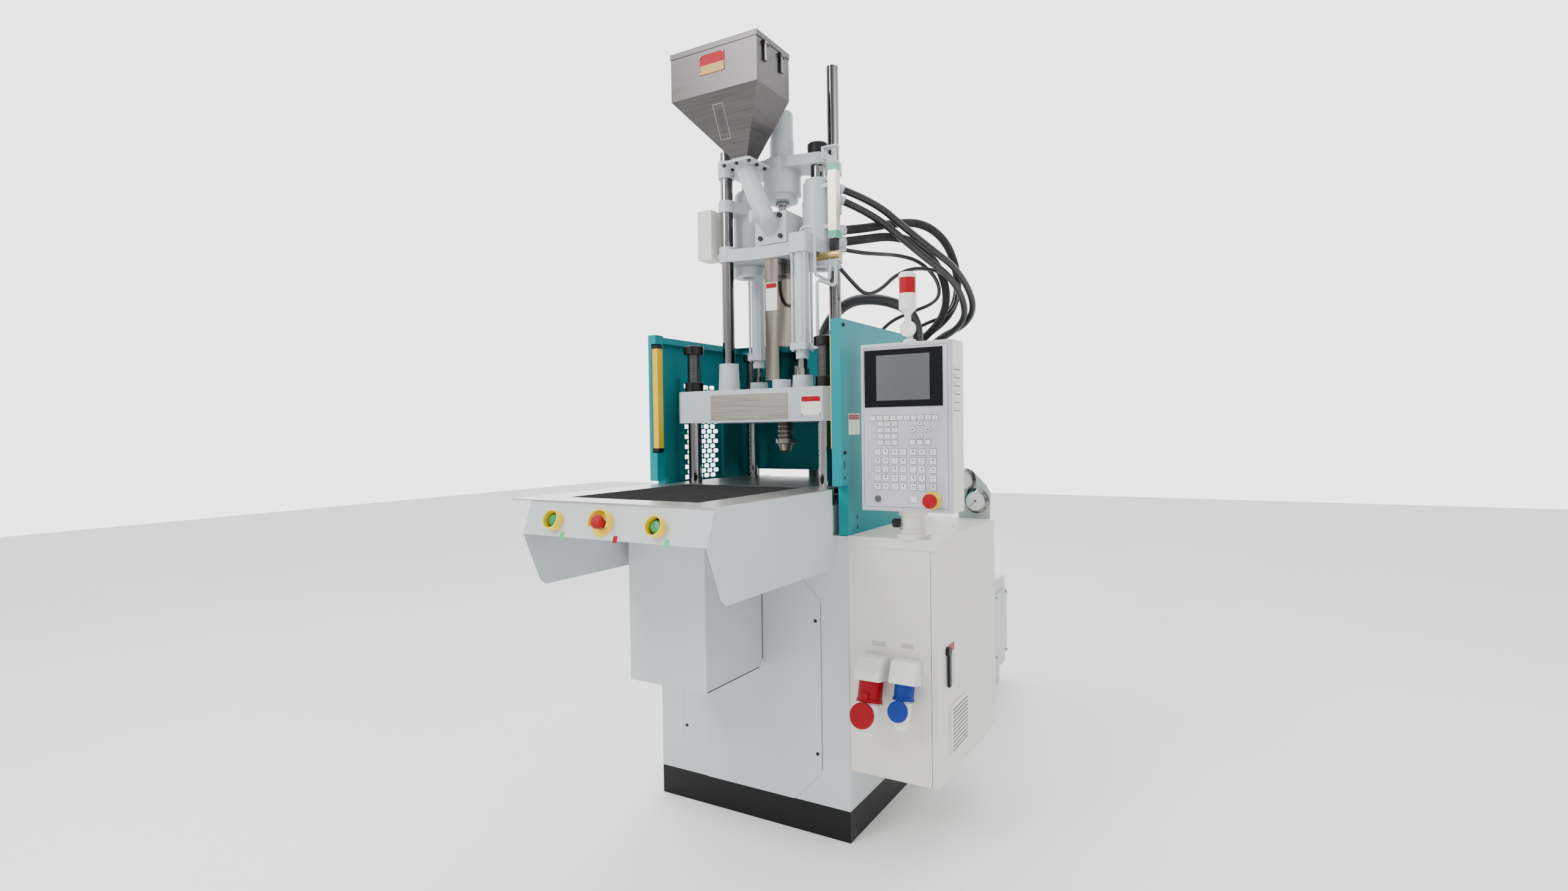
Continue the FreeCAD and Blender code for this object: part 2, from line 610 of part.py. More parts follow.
def slide_plate():
    """Plate on four runner blocks, each with the rail's channel in it."""
    low = "(table_top-slide_thick)"
    runner_low = "(%s+8)" % BED_FACE
    outline = [("-slide_wide/2", "slide_front"), ("slide_wide/2", "slide_front"),
               ("slide_wide/2", "slide_rear"), ("-slide_wide/2", "slide_rear")]
    bolts = [(x, y, "mould_bolt_radius") for x, y in pairs("mould_bolt_x", "mould_bolt_y")]
    top = plate("slide_top", "XY", outline, "slide_thick", at=(0, 0, low), circles=bolts + [(0, 0, 6)])
    pieces = [top]
    for middle in ("-rail_apart/2", "rail_apart/2"):
        for front in ("slide_front+30", "slide_rear-30-runner_long"):
            block = box("runner_block", (middle + "-runner_wide/2", front, runner_low),
                        ("runner_wide", "runner_long", "%s-%s" % (low, runner_low)))
            channel = box("runner_channel", (middle + "-rail_wide/2-slide_gap", front + "-1", runner_low + "-1"),
                          ("rail_wide+2*slide_gap", "runner_long+2", "rail_tall-8+1+slide_gap"))
            pieces.append(cut("runner_cut", block, channel))
    return join("slide_join", *pieces)


def bellows():
    """Folded cover from the slot's front end to the sliding plate, closed under like an accordion."""
    count = int(value("fold_count"))
    front = value("slot_front+2")
    pitch = (value("slide_front") - front) / (2 * count)
    crest = value("table_top")
    valley = crest - value("fold_tall")
    thick = value("fold_sheet")
    upper = [V(0, front + step * pitch, valley if step % 2 == 0 else crest) for step in range(2 * count + 1)]
    lower = [corner - V(0, 0, thick) for corner in reversed(upper)]
    face = Part.Face(Part.makePolygon(upper + lower + upper[:1]))
    folded = doc.addObject("Part::Feature", "bellows_fold")
    left = value("bellows_left")
    folded.Shape = face.translated(V(left, 0, 0)).extrude(V(value("bellows_right") - left, 0, 0))
    return folded


# ---------------------------------------------------------------- clamp

PLATEN_TOP = "(platen_low+platen_thick)"
ROD_PLACES = (("rod_left_x", "rod_left_y"), ("rod_right_x", "rod_right_y"))
TOUCH_PLACES = (("touch_x", "touch_y"), ("touch_left_x", "touch_left_y"))


def upper_platen():
    block = box("platen_block", ("-platen_wide/2", "-platen_deep/2", "platen_low"),
                ("platen_wide", "platen_deep", "platen_thick"))
    block = eased("platen_edge", block, UP, "platen_corner", kind="Part::Chamfer")
    bosses = [cone("platen_boss", (x, y, PLATEN_TOP), "boss_radius", "boss_tip", "boss_tall")
              for x, y in ROD_PLACES]
    bosses += [cone("touch_pad", (x, y, PLATEN_TOP), 38, 36.5, "touch_boss-" + PLATEN_TOP)
               for x, y in TOUCH_PLACES]
    bosses.append(rod("platen_pad", ("touch_x-78", "touch_y-20", PLATEN_TOP), 34, 34))
    whole = join("platen_join", block, *bosses)
    bores = [rod("bar_bore", (x, y, "platen_low-1"), "bar_radius+fit_gap", "platen_thick+2")
             for x, y in pairs("bar_pitch_x", "bar_pitch_y")]
    bores.append(rod("nozzle_bore", (0, 0, "platen_low-1"), "nozzle_hole", "platen_thick+2"))
    bores += [rod("rod_bore", (x, y, PLATEN_TOP + "+boss_tall-seat_deep"), "rod_radius+fit_gap", "seat_deep+1")
              for x, y in ROD_PLACES]
    bores += [rod("mould_bore", (x, y, "platen_low-1"), "mould_bolt_radius", "mould_bolt_deep+1")
              for x, y in pairs("mould_bolt_x", "mould_bolt_y")]
    return cut("platen_cut", whole, *bores)


def tie_bars():
    bars = [turned("tie_bar", [(0, "bar_low"), ("bar_radius", "bar_low"), ("bar_radius", PLATEN_TOP),
                               ("bar_thread", PLATEN_TOP), ("bar_thread", "bar_top-3"),
                               ("bar_thread-3", "bar_top"), (0, "bar_top")], at=(x, y, 0))
            for x, y in pairs("bar_pitch_x", "bar_pitch_y")]
    return group("bars_all", *bars)


def ring_nut(name, x, y, low, radius, tall):
    """Ring nut with slots round its rim for a hook wrench."""
    ring = turned(name, [("bar_thread+fit_gap", 0), (radius + "-2", 0), (radius, 2), (radius, tall + "-2"),
                         (radius + "-2", tall), ("bar_thread+fit_gap", tall)])
    slots = []
    for turn in range(3):
        slot = box("nut_slot", ("-nut_radius-5", "-nut_slot/2", -1), ("2*nut_radius+10", "nut_slot", tall + "+2"))
        core = rod("nut_core", (0, 0, -2), radius + "-nut_slot*0.6", tall + "+4")
        slots.append(place(cut("nut_key", slot, core), (0, 0, 0), spin=turn * 60))
    return place(cut(name + "_slotted", ring, *slots), (x, y, low))


def tie_nuts():
    nuts = []
    for x, y in pairs("bar_pitch_x", "bar_pitch_y"):
        nuts.append(ring_nut("collar_nut", x, y, PLATEN_TOP, "collar_radius", "collar_tall"))
        nuts.append(ring_nut("lock_nut", x, y, "bar_top-4-nut_tall", "nut_radius", "nut_tall"))
    return group("nuts_all", *nuts)


def platen_rods():
    """Two guide rods of the injection unit, and the two rods that pull its nozzle to the mould."""
    seat = PLATEN_TOP + "+boss_tall-seat_deep"
    rods = []
    for (x, y), top in zip(ROD_PLACES, ("rod_left_top", "rod_top")):
        rods.append(turned("guide_rod", [(0, seat), ("rod_radius", seat), ("rod_radius", top + "-3"),
                                         ("rod_radius-3", top), (0, top)], at=(x, y, 0)))
    for x, y in TOUCH_PLACES:
        rods.append(turned("contact_rod", [(0, "touch_boss"), (26, "touch_boss"), (26, "touch_boss+24"),
                                           (18, "touch_boss+24"), (18, "touch_boss+54"),
                                           ("touch_rod", "touch_boss+54"),
                                           ("touch_rod", "touch_low+touch_stroke+120"),
                                           (0, "touch_low+touch_stroke+120")], at=(x, y, 0)))
    return group("rods_all", *rods)


# ---------------------------------------------------------------- injection unit

def shot_cylinder(x):
    """Injection cylinder: barrel with a stepped gland, and a flanged cap under the carriage."""
    return turned("shot_cylinder", [("piston_rod+fit_gap", "plate_low-42"), ("shot_cap", "plate_low-42"),
                                    ("shot_cap", "plate_low-8"), ("shot_radius", "plate_low"),
                                    ("shot_radius", "shot_top-84"), ("shot_radius-4", "shot_top-80"),
                                    ("shot_radius-4", "shot_top-16"), ("shot_radius-14", "shot_top"),
                                    ("piston_rod+fit_gap", "shot_top")], at=(x, 0, 0))


def carriage():
    """Cast carriage: plate with guide sleeves and lugs, both injection cylinders and the feed block."""
    half = "touch_head/2"
    spine = plate("carriage_plate", "XY",
                  [("rod_left_x-24", "rod_left_y-21"), ("rod_left_x+20", "rod_left_y-25"),
                   ("feed_left-10", "feed_front"), ("feed_right+4", "feed_front"),
                   ("touch_x-" + half, "touch_y+" + half), ("touch_x+" + half, "touch_y+" + half),
                   ("shot_apart/2+56", -30), ("shot_apart/2+56", 30), ("rod_right_x+31", "rod_right_y+6"),
                   ("rod_right_x+12", "rod_right_y+29"), ("rod_right_x-30", "rod_right_y+10"), (60, 80),
                   (-80, 80), ("touch_left_x+" + half, "touch_left_y-" + half),
                   ("touch_left_x-" + half, "touch_left_y-" + half), ("-shot_apart/2-56", -20)],
                  "plate_tall", at=(0, 0, "plate_low"))
    cylinders = [shot_cylinder("-shot_apart/2"), shot_cylinder("shot_apart/2")]
    block = box("feed_block", ("feed_left", "feed_front+10", "plate_low+plate_tall"),
                ("feed_right-feed_left", "60-feed_front", "feed_top-plate_low-plate_tall"))
    face = box("feed_face", ("feed_left+23", "feed_front", "plate_low+plate_tall+3"),
               ("feed_right-feed_left-23", 10, "feed_top-plate_low-plate_tall-3"))
    sleeves = []
    for x, y in ROD_PLACES:
        sleeves.append(rod("guide_sleeve", (x, y, "plate_low"), "sleeve_radius", "plate_tall+12"))
        sleeves.append(rod("guide_lug", (x, y, "lug_low"), "sleeve_radius", "lug_tall"))
    left_web = plate("left_web", "XY", [("rod_left_x+18", "rod_left_y-26"), ("-shot_apart/2+46", -30),
                                        ("-shot_apart/2-40", -10), ("rod_left_x-32", "rod_left_y")],
                     "lug_tall", at=(0, 0, "lug_low"))
    right_web = plate("right_web", "XY", [("rod_right_x-32", "rod_right_y"), ("shot_apart/2-36", 20),
                                          ("shot_apart/2+36", 20), ("rod_right_x+32", "rod_right_y")],
                      "lug_tall", at=(0, 0, "lug_low"))
    feet = [box("transducer_foot", ("shot_apart/2+30", -44, "plate_low+%d" % level),
                (TRANSDUCER_X + "-shot_apart/2-30", 22, 16)) for level in (96, 250)]
    arm = box("junction_arm", ("junction_right", "rod_left_y-12", "plate_low+20"),
              ("rod_left_x-junction_right", 24, 16))
    ports = [box("hose_port", ("shot_apart/2+20", 24, "plate_low+%d" % level), (44, 46, tall))
             for level, tall in ((20, 106), (190, 92))]
    for name, (radius, route) in HOSES.items():
        if name != "hose_arch":
            outlet, after = V(*route[0]), V(*route[1])
            inside = outlet - (after - outlet).normalize() * 34
            ports.append(round_run("hose_fitting", inside, outlet, radius + 3))
    casting = join("carriage_casting", spine, block, face, left_web, right_web, arm, *cylinders, *sleeves, *feet)
    whole = casting
    for port in ports:
        whole = join("carriage_join", whole, port)
        whole.Refine = False
    bores = [rod("guide_bore", (x, y, "plate_low-1"), "rod_radius+fit_gap", "lug_low+lug_tall-plate_low+2")
             for x, y in ROD_PLACES]
    bores += [rod("piston_bore", (x, 0, "plate_low-30"), "piston_rod+fit_gap", "shot_top-plate_low+31")
              for x in ("-shot_apart/2", "shot_apart/2")]
    bores.append(rod("barrel_bore", (0, 0, "plate_low-1"), "barrel_radius", "feed_top-plate_low+2"))
    return cut("carriage_cut", whole, *bores)


def barrel():
    """Barrel and nozzle bored for the screw, with its heater bands and a coiled nozzle heater."""
    coil = []
    for turn in range(4):
        coil += [("heater_radius-4", "nozzle_top-30-%d*18" % turn), ("heater_radius", "nozzle_top-34-%d*18" % turn),
                 ("heater_radius", "nozzle_top-42-%d*18" % turn), ("heater_radius-4", "nozzle_top-46-%d*18" % turn)]
    body = turned("barrel_body", [(0, "feed_top+6"), ("barrel_radius-6", "feed_top+6"),
                                  ("barrel_radius", "feed_top"), ("barrel_radius", "nozzle_top"),
                                  ("heater_radius+4", "nozzle_top"), ("heater_radius+4", "nozzle_top-28"), *coil,
                                  (27, "nozzle_tip+56"), ("heater_radius+9", "nozzle_tip+55"),
                                  ("heater_radius+9", "nozzle_tip+38"), (30, "nozzle_tip+34"),
                                  (22, "nozzle_tip+10"), (8, "nozzle_tip"), (0, "nozzle_tip")])
    bands = []
    spacing = "(plate_low-100-nozzle_top)/4"
    for number in range(4):
        low = "nozzle_top+40+%d*%s" % (number, spacing)
        bands.append(rod("heater_band", (0, 0, low), "barrel_radius+8", "%s-24" % spacing))
        bands.append(box("heater_lug", (-8, "barrel_radius+5", low + "+30"), (16, 14, 30)))
    bore = turned("barrel_bore", [(0, "nozzle_tip-1"), (2, "nozzle_tip-1"), (2, "nozzle_top+20"),
                                  ("screw_radius+fit_gap", "nozzle_top+30"),
                                  ("screw_radius+fit_gap", "feed_top+7"), (0, "feed_top+7")])
    return cut("barrel_cut", join("barrel_join", body, *bands), bore)


def barrel_cover():
    """Polished sheet bent round the front of the barrel, open behind."""
    inner = "cover_sheet"
    outline = [("cover_x-cover_half", "cover_front"), ("cover_x+cover_half", "cover_front"), ("cover_flare", 10),
               ("cover_flare-%s" % inner, 10), ("cover_x+cover_half-%s" % inner, "cover_front+%s" % inner),
               ("cover_x-cover_half+%s" % inner, "cover_front+%s" % inner), ("-cover_flare+%s" % inner, 10),
               ("-cover_flare", 10)]
    return plate("cover_plate", "XY", outline, "plate_low-cover_low", at=(0, 0, "cover_low"))


def touch_cylinder(x, y, top):
    """Tie-rod cylinder: square heads, round tube, four thin rods and a gland."""
    side = "touch_head"
    corner = side + "/2-10"
    head = eased("touch_head_round",
                 box("touch_head_top", (x + "-touch_head/2", y + "-touch_head/2", top + "-70"), (side, side, 70)),
                 UP, 9)
    foot = eased("touch_foot_round",
                 box("touch_foot", (x + "-touch_head/2", y + "-touch_head/2", "touch_low"), (side, side, 24)),
                 UP, 9)
    tube = rod("touch_tube", (x, y, "touch_low+20"), "touch_radius", top + "-70-touch_low")
    gland = rod("touch_gland", (x, y, "touch_low-32"), 24, 34)
    rods = [rod("touch_stay", (x + "%s(%s)" % (a, corner), y + "%s(%s)" % (b, corner), "touch_low-6"), 5,
                top + "-60-touch_low")
            for a in "+-" for b in "+-"]
    whole = join("touch_join", head, foot, tube, gland, *rods)
    bore = rod("touch_bore", (x, y, "touch_low-33"), "touch_rod+fit_gap", "touch_stroke+33+130")
    return cut("touch_cut", whole, bore)


def touch_cylinders():
    return group("touch_all", touch_cylinder("touch_x", "touch_y", "touch_top"),
                 touch_cylinder("touch_left_x", "touch_left_y", "touch_top"))


def hopper():
    """Sheet hopper: straight box, lopsided cone and short neck, open top and bottom."""
    shells = []
    for name, wall in (("hopper_outer", "0"), ("hopper_inner", "hopper_wall")):
        shells.append(join(name, *hopper_form(name, wall)))
    return cut("hopper_cut", *shells)


def hopper_form(name, wall):
    """The hopper's box, cone and neck, each side drawn in by the wall."""
    left, right = "hopper_left+" + wall, "hopper_right-" + wall
    front, back = "hopper_front+" + wall, "hopper_back-" + wall
    half = "(neck_half-%s)" % wall
    past = "1" if wall != "0" else "0"
    upper = box(name + "_box", (left, front, "hopper_low"),
                (right + "-(" + left + ")", back + "-(" + front + ")", "hopper_top-hopper_low+" + past))
    taper = doc.addObject("Part::Wedge", name + "_cone")
    taper.Placement = FreeCAD.Placement(V(0, 0, 0), FreeCAD.Rotation(RIGHT, 90))
    taper.setExpression("Placement.Base.z", bound("neck_low+18"))
    for side, text in (("Xmin", "neck_x-" + half), ("Xmax", "neck_x+" + half), ("Ymin", "0"),
                       ("Ymax", "hopper_low-neck_low-18"), ("Zmin", "-neck_y-" + half), ("Zmax", "-neck_y+" + half),
                       ("X2min", left), ("X2max", right), ("Z2min", "-(" + back + ")"),
                       ("Z2max", "-(" + front + ")")):
        taper.setExpression(side, bound(text))
    neck = box(name + "_neck", ("neck_x-" + half, "neck_y-" + half, "neck_low-" + past),
               ("2*" + half, "2*" + half, "18+" + past))
    return upper, taper, neck


def hopper_lid():
    """Flat lid with a turned-down lip round it."""
    clear = "slide_gap"
    lip = "(slide_gap+hopper_wall)"
    outer = box("lid_block", ("hopper_left-" + lip, "hopper_front-" + lip, "hopper_top-lid_tall+2"),
                ("hopper_right-hopper_left+2*" + lip, "hopper_back-hopper_front+2*" + lip, "lid_tall"))
    inner = box("lid_space", ("hopper_left-" + clear, "hopper_front-" + clear, "hopper_top-lid_tall+1"),
                ("hopper_right-hopper_left+2*" + clear, "hopper_back-hopper_front+2*" + clear, "lid_tall-1"))
    return cut("lid_cut", outer, inner)


LATCH_X = "(hopper_right+slide_gap+hopper_wall+1)"
LATCH_Z = "(hopper_top-lid_tall-8)"


def latch(y):
    """Toggle lever that hangs from its pivot below the lid's lip."""
    lever = box("latch_lever", (LATCH_X, y + "-latch_wide/2", LATCH_Z + "-latch_long"),
                (4, "latch_wide", "latch_long"))
    knuckle = rod("latch_knuckle", (LATCH_X + "+3", y + "-latch_wide/2", LATCH_Z), 5, "latch_wide", BACK)
    return join("latch_join", lever, knuckle)


def latch_ears(y):
    """Pair of ears on the hopper that carry the lever's knuckle."""
    low = LATCH_Z + "-9"
    foot = box("latch_foot", ("hopper_right-0.5", y + "-latch_wide/2-4", low), (1.5, "latch_wide+8", 16))
    ears = [box("latch_ear", ("hopper_right", side, low), (10, 3, 16))
            for side in (y + "-latch_wide/2-3.5", y + "+latch_wide/2+0.5")]
    return join("latch_seat", foot, *ears)


def feed_tube():
    """Flange under the hopper, slanting tube with an elbow into the feed block, and a plugged stub."""
    flange = box("feed_flange", ("neck_x-flange_half", "neck_y-flange_half", "neck_low-flange_thick"),
                 ("2*flange_half", "2*flange_half", "flange_thick"))
    start = point("neck_x", "neck_y+4", "neck_low-flange_thick-4")
    bend = point("feed_middle", "feed_front-38", "feed_end_z+16")
    end = point("feed_middle", "feed_front", "feed_end_z-6")
    tube = round_run("feed_pipe", start, bend, "feed_radius")
    elbow = doc.addObject("Part::Sphere", "feed_elbow")
    elbow.setExpression("Radius", bound("feed_radius"))
    tilted(elbow, bend.x, bend.y, bend.z, UP)
    mouth = round_run("feed_mouth", bend, end + (end - bend), "feed_radius")
    throat = rod("feed_throat", ("neck_x", "neck_y", "neck_low-30"), "feed_radius-2", 24)
    stub_end = bend + V(-0.62, -0.78, -0.05) * value("feed_radius+22")
    stub = round_run("feed_stub", bend, stub_end, "feed_radius-13")
    behind = box("feed_behind", (-160, "feed_front", "feed_end_z-100"), (320, 200, 200))
    return cut("feed_cut", join("feed_join", flange, throat, tube, elbow, mouth, stub), behind)


def round_run(name, start, end, radius):
    """A cylinder from one point to another."""
    run = end - start
    solid = doc.addObject("Part::Cylinder", name)
    solid.setExpression("Radius", bound(radius))
    solid.Height = run.Length
    return tilted(solid, start.x, start.y, start.z, run)


def junction_box():
    """Terminal box beside the left guide rod, carried by the carriage's arm."""
    return box("junction_body", ("junction_right-65", -160, "plate_low+16"), (65, 80, 190))


TRANSDUCER_X = "(shot_apart/2+66)"


def transducer():
    """Displacement transducer beside the right injection cylinder, with a plug below."""
    bar = box("transducer_bar", (TRANSDUCER_X, -50, "plate_low+56"), (34, 34, 280))
    plug = box("transducer_plug", (TRANSDUCER_X + "+4", -47, "plate_low+8"), (26, 28, 48))
    bore = rod("transducer_bore", (TRANSDUCER_X + "+17", -33, "plate_low+120"), "4+fit_gap", 230)
    return cut("transducer_cut", join("transducer_join", bar, plug), bore)


def pipe(name, route, radius, bend):
    """A bent tube: straight runs joined by equal arcs."""
    path = rounded_path([V(*corner) for corner in route], [bend] * (len(route) - 2))
    return sweep(name, path, value(radius))


def rounded_path(corners, radii):
    """Straight runs joined by tangent arcs of the given radii."""
    edges = []
    last = corners[0]
    for before, corner, after, radius in zip(corners, corners[1:], corners[2:], radii):
        inward = (before - corner).normalize()
        outward = (after - corner).normalize()
        half = inward.getAngle(outward) / 2
        reach = radius / math.tan(half)
        middle = corner + (inward + outward).normalize() * (radius / math.sin(half) - radius)
        start, end = corner + inward * reach, corner + outward * reach
        if (start - last).Length > 1e-6:
            edges.append(Part.LineSegment(last, start).toShape())
        edges.append(Part.Arc(start, middle, end).toShape())
        last = end
    edges.append(Part.LineSegment(last, corners[-1]).toShape())
    return Part.Wire(edges)


def sweep(name, path, radius):
    start = path.Edges[0].valueAt(path.Edges[0].FirstParameter)
    direction = path.Edges[0].tangentAt(path.Edges[0].FirstParameter)
    ring = Part.Wire(Part.makeCircle(radius, start, direction))
    tube = doc.addObject("Part::Feature", name)
    tube.Shape = path.makePipeShell([ring], True, False)
    return tube


def hydraulic_pipes():
    """Two steel pipes of the right contact cylinder, with the valve fittings behind it."""
    x, y = value("touch_x"), value("touch_y")
    head, foot = value("touch_top"), value("touch_low")
    level = value("plate_low")
    side = value("shot_apart/2+shot_radius")
    upper = pipe("upper_pipe", [(x, y, head), (x, y, head + 24), (x + 52, y + 6, head + 20),
                                (x + 50, y + 8, level - 92), (side + 30, y + 70, level - 112),
                                (side + 30, y + 75, level - 26)], "pipe_radius", 14)
    lower = pipe("lower_pipe", [(x + 60, y + 6, foot + 12), (x + 60, y + 6, level - 112),
                                (side + 52, y + 74, level - 132), (side + 52, y + 80, level - 26)],
                 "pipe_radius", 14)
    elbow = box("pipe_elbow", ("touch_x+touch_head/2", "touch_y-4", "touch_low+2"), (32, 20, 20))
    valve = rod("pipe_valve", ("shot_apart/2+14", "touch_y+75", "plate_low-16"), 15, 118, RIGHT)
    seat = rod("valve_seat", ("shot_apart/2+18", "touch_y+75", "plate_low-16"), 12, 16)
    return join("pipes_join", upper, lower, elbow, valve, seat)


def crosshead():
    """Cast crosshead with guide lugs, bearing housing and the transducer's rod on its bracket."""
    arms = plate("cross_plate", "XY",
                 [("rod_left_x-27", "rod_left_y-17"), ("rod_left_x+16", "rod_left_y-27"), (-60, -66),
                  (60, -66), ("shot_apart/2+12", -42), ("shot_apart/2+44", -30), ("shot_apart/2+44", 24),
                  ("rod_right_x+32", "rod_right_y"), ("rod_right_x+12", "rod_right_y+29"),
                  ("rod_right_x-31", "rod_right_y+8"), (60, 70), (-60, 70), ("-shot_apart/2-10", 44),
                  ("-shot_apart/2-42", 16)],
                 "cross_tall", at=(0, 0, "cross_low"))
    lugs = [rod("cross_lug", (x, y, "cross_low-%d" % drop), "sleeve_radius", "cross_tall+%d" % drop)
            for (x, y), drop in zip(ROD_PLACES, (24, 6))]
    drum = turned("cross_drum", [("spindle+fit_gap", "drum_low-24"), ("drum_radius-14", "drum_low-24"),
                                 ("drum_radius-9", "drum_low-3"), ("drum_radius", "drum_low"),
                                 ("drum_radius", "cross_low+cross_tall+2"),
                                 ("spindle+fit_gap", "cross_low+cross_tall+2")])
    edge = TRANSDUCER_X + "+36"
    bracket = plate("rod_bracket", "XZ",
                    [("shot_apart/2+40", "cross_low+8"), ("shot_apart/2+50", "cross_low+8"),
                     ("shot_apart/2+50", "cross_low+cross_tall+6"), (edge, "cross_low+cross_tall+6"),
                     (edge, "cross_low+cross_tall+12"), ("shot_apart/2+40", "cross_low+cross_tall+12")],
                    32, at=(0, -17, 0))
    probe = rod("probe_rod", (TRANSDUCER_X + "+17", -33, "plate_low+260"), 4,
                "cross_low+cross_tall+8-plate_low-260")
    nut = rod("probe_nut", (TRANSDUCER_X + "+17", -33, "cross_low+cross_tall-12"), 8, 20)
    whole = join("cross_join", arms, drum, bracket, probe, nut, *lugs)
    bores = [rod("cross_bore", (x, y, "cross_low-30"), "rod_radius+fit_gap", "cross_tall+40")
             for x, y in ROD_PLACES]
    bores += [rod("piston_hole", (x, 0, "cross_low-1"), "piston_rod-6", "cross_tall+2")
              for x in ("-shot_apart/2", "shot_apart/2")]
    bores.append(rod("spindle_bore", (0, 0, "drum_low-25"), "spindle+fit_gap",
                     "cross_low+cross_tall+4-drum_low+25"))
    return cut("cross_cut", whole, *bores)


def piston_rods():
    """Injection piston rods, shouldered under the crosshead and closed by fluted cap nuts on top."""
    rods = []
    for x in ("-shot_apart/2", "shot_apart/2"):
        shaft = turned("piston_shaft", [(0, "plate_low+100"), ("piston_rod", "plate_low+100"),
                                        ("piston_rod", "cross_low"), ("piston_rod-6-fit_gap", "cross_low"),
                                        ("piston_rod-6-fit_gap", "cross_low+cross_tall"),
                                        ("cap_radius", "cross_low+cross_tall"),
                                        ("cap_radius", "cross_low+cross_tall+cap_tall-4"),
                                        ("cap_radius-4", "cross_low+cross_tall+cap_tall"),
                                        (0, "cross_low+cross_tall+cap_tall")], at=(x, 0, 0))
        rods.append(shaft)
    return group("pistons_all", *rods)


def hydraulic_motor():
    """Two stacked housings of the motor that turns the screw."""
    low = "(cross_low+cross_tall+2)"
    return turned("motor_body", [(0, low), ("motor_radius+9", low), ("motor_radius+9", low + "+12"),
                                 ("motor_radius", low + "+12"), ("motor_radius", low + "+76"),
                                 ("motor_radius-2", low + "+79"), ("motor_radius-2", "motor_top-8"),
                                 ("motor_radius-9", "motor_top"), (0, "motor_top")])


def screw():
    """Plasticising screw with its coupling and the spindle in the bearing housing."""
    return turned("screw_body", [(0, "nozzle_top+70"), (6, "nozzle_top+72"), ("screw_radius", "nozzle_top+100"),
                                 ("screw_radius", "drum_low-39"), ("spindle+7", "drum_low-39"),
                                 ("spindle+7", "drum_low-26"), ("spindle", "drum_low-26"),
                                 ("spindle", "cross_low+cross_tall+1"), (0, "cross_low+cross_tall+1")])


# ---------------------------------------------------------------- guards and light curtains

CURTAIN_PLACES = ("guard_left+post_wide-curtain_set", "guard_right-post_wide-curtain_wide+curtain_set")


def guard_right_panel():
    post = cut("right_post_cut",
               box("right_post", ("guard_right-post_wide", "guard_front", "guard_low"),
                   ("post_wide", "post_deep", "guard_top-guard_low")),
               box("right_notch", ("guard_right-post_wide-1", "guard_front+2.5", "curtain_low-4"),
                   ("curtain_set+1.3", "curtain_deep+3.8", "curtain_long+8")))
    outline = [("guard_front+post_deep", "cabinet_top"), ("guard_back-sheet_metal", "cabinet_top"),
               ("guard_back-sheet_metal", "guard_top"), ("guard_front+post_deep", "guard_top")]
    wall = plate("right_wall", "YZ", outline, "sheet_metal", at=("guard_right-sheet_metal", 0, 0),
                 circles=[("guard_front+post_deep+72", "bed_top+58", 6), ("guard_front+post_deep+72", "bed_top+25", 6)])
    lower = box("right_lower", ("guard_right-post_wide", "guard_front+post_deep", "cabinet_top"),
                ("post_wide", 22, "guard_low-cabinet_top+10"))
    lip = box("right_lip", ("guard_right-post_wide", "guard_front+post_deep", "guard_top-30"),
              ("post_wide", "guard_back-sheet_metal-guard_front-post_deep", "sheet_metal"))
    return join("guard_right_join", post, wall, lower, lip)


def mesh_hole(column, row):
    """Outline of one hole of the perforated field, a rectangle with cut corners."""
    shift = 0.5 * (row % 2)
    y = "(mesh_front+(%s)*mesh_pitch_y)" % (column + shift + 0.5)
    z = "(mesh_low+(%d+0.5)*mesh_pitch_z)" % row
    corners = []
    for side_y, side_z, first in ((-1, -1, "z"), (1, -1, "y"), (1, 1, "z"), (-1, 1, "y")):
        for step in ((first,), ("y" if first == "z" else "z",)):
            drawn_y = "mesh_hole_y/2" + ("-mesh_cut" if step[0] == "y" else "")
            drawn_z = "mesh_hole_z/2" + ("-mesh_cut" if step[0] == "z" else "")
            corners.append((y + "%+d*(%s)" % (side_y, drawn_y), z + "%+d*(%s)" % (side_z, drawn_z)))
    return corners


def guard_left_panel():
    """Left guard: front post, perforated wall and stiffening ribs."""
    post = cut("left_post_cut",
               box("left_post", ("guard_left", "guard_front", "guard_low"),
                   ("post_wide", "post_deep", "guard_top-guard_low")),
               box("left_notch", ("guard_left+post_wide-curtain_set-0.3", "guard_front-1", "curtain_low-4"),
                   ("curtain_set+1.3", "curtain_deep+7.3", "curtain_long+8")))
    wall = box("left_wall", ("guard_left", "guard_front+post_deep", "bed_top"),
               ("sheet_metal", "guard_back-sheet_metal-guard_front-post_deep", "guard_top-bed_top"))
    rows = range(int(value("mesh_rows")))
    columns = range(int(value("mesh_columns")))
    punches = []
    for row in rows:
        for column in columns:
            hole = mesh_hole(column, row)
            ring = [V(value("guard_left") - 5, value(y), value(z)) for y, z in hole]
            punches.append(Part.Face(Part.makePolygon(ring + ring[:1])).extrude(V(20, 0, 0)))
    punch = doc.addObject("Part::Feature", "left_punch")
    punch.Shape = Part.makeCompound(punches)
    lower = box("left_lower", ("guard_left", "guard_front+post_deep", "bed_top"),
                ("post_wide", 22, "guard_low-bed_top+10"))
    lip = box("left_lip", ("guard_left", "guard_front+post_deep", "guard_top-30"),
              ("post_wide", "guard_back-sheet_metal-guard_front-post_deep", "sheet_metal"))
    rib_tall = "guard_top-160-table_top"
    ribs = [box("left_rib", ("guard_left+sheet_metal", y, "table_top+4"), (14, 24, rib_tall))
            for y in ("mesh_front-34", "mesh_front+(mesh_columns+0.5)*mesh_pitch_y+14")]
    return join("guard_left_join", post, cut("left_cut", wall, punch), lower, lip, *ribs)


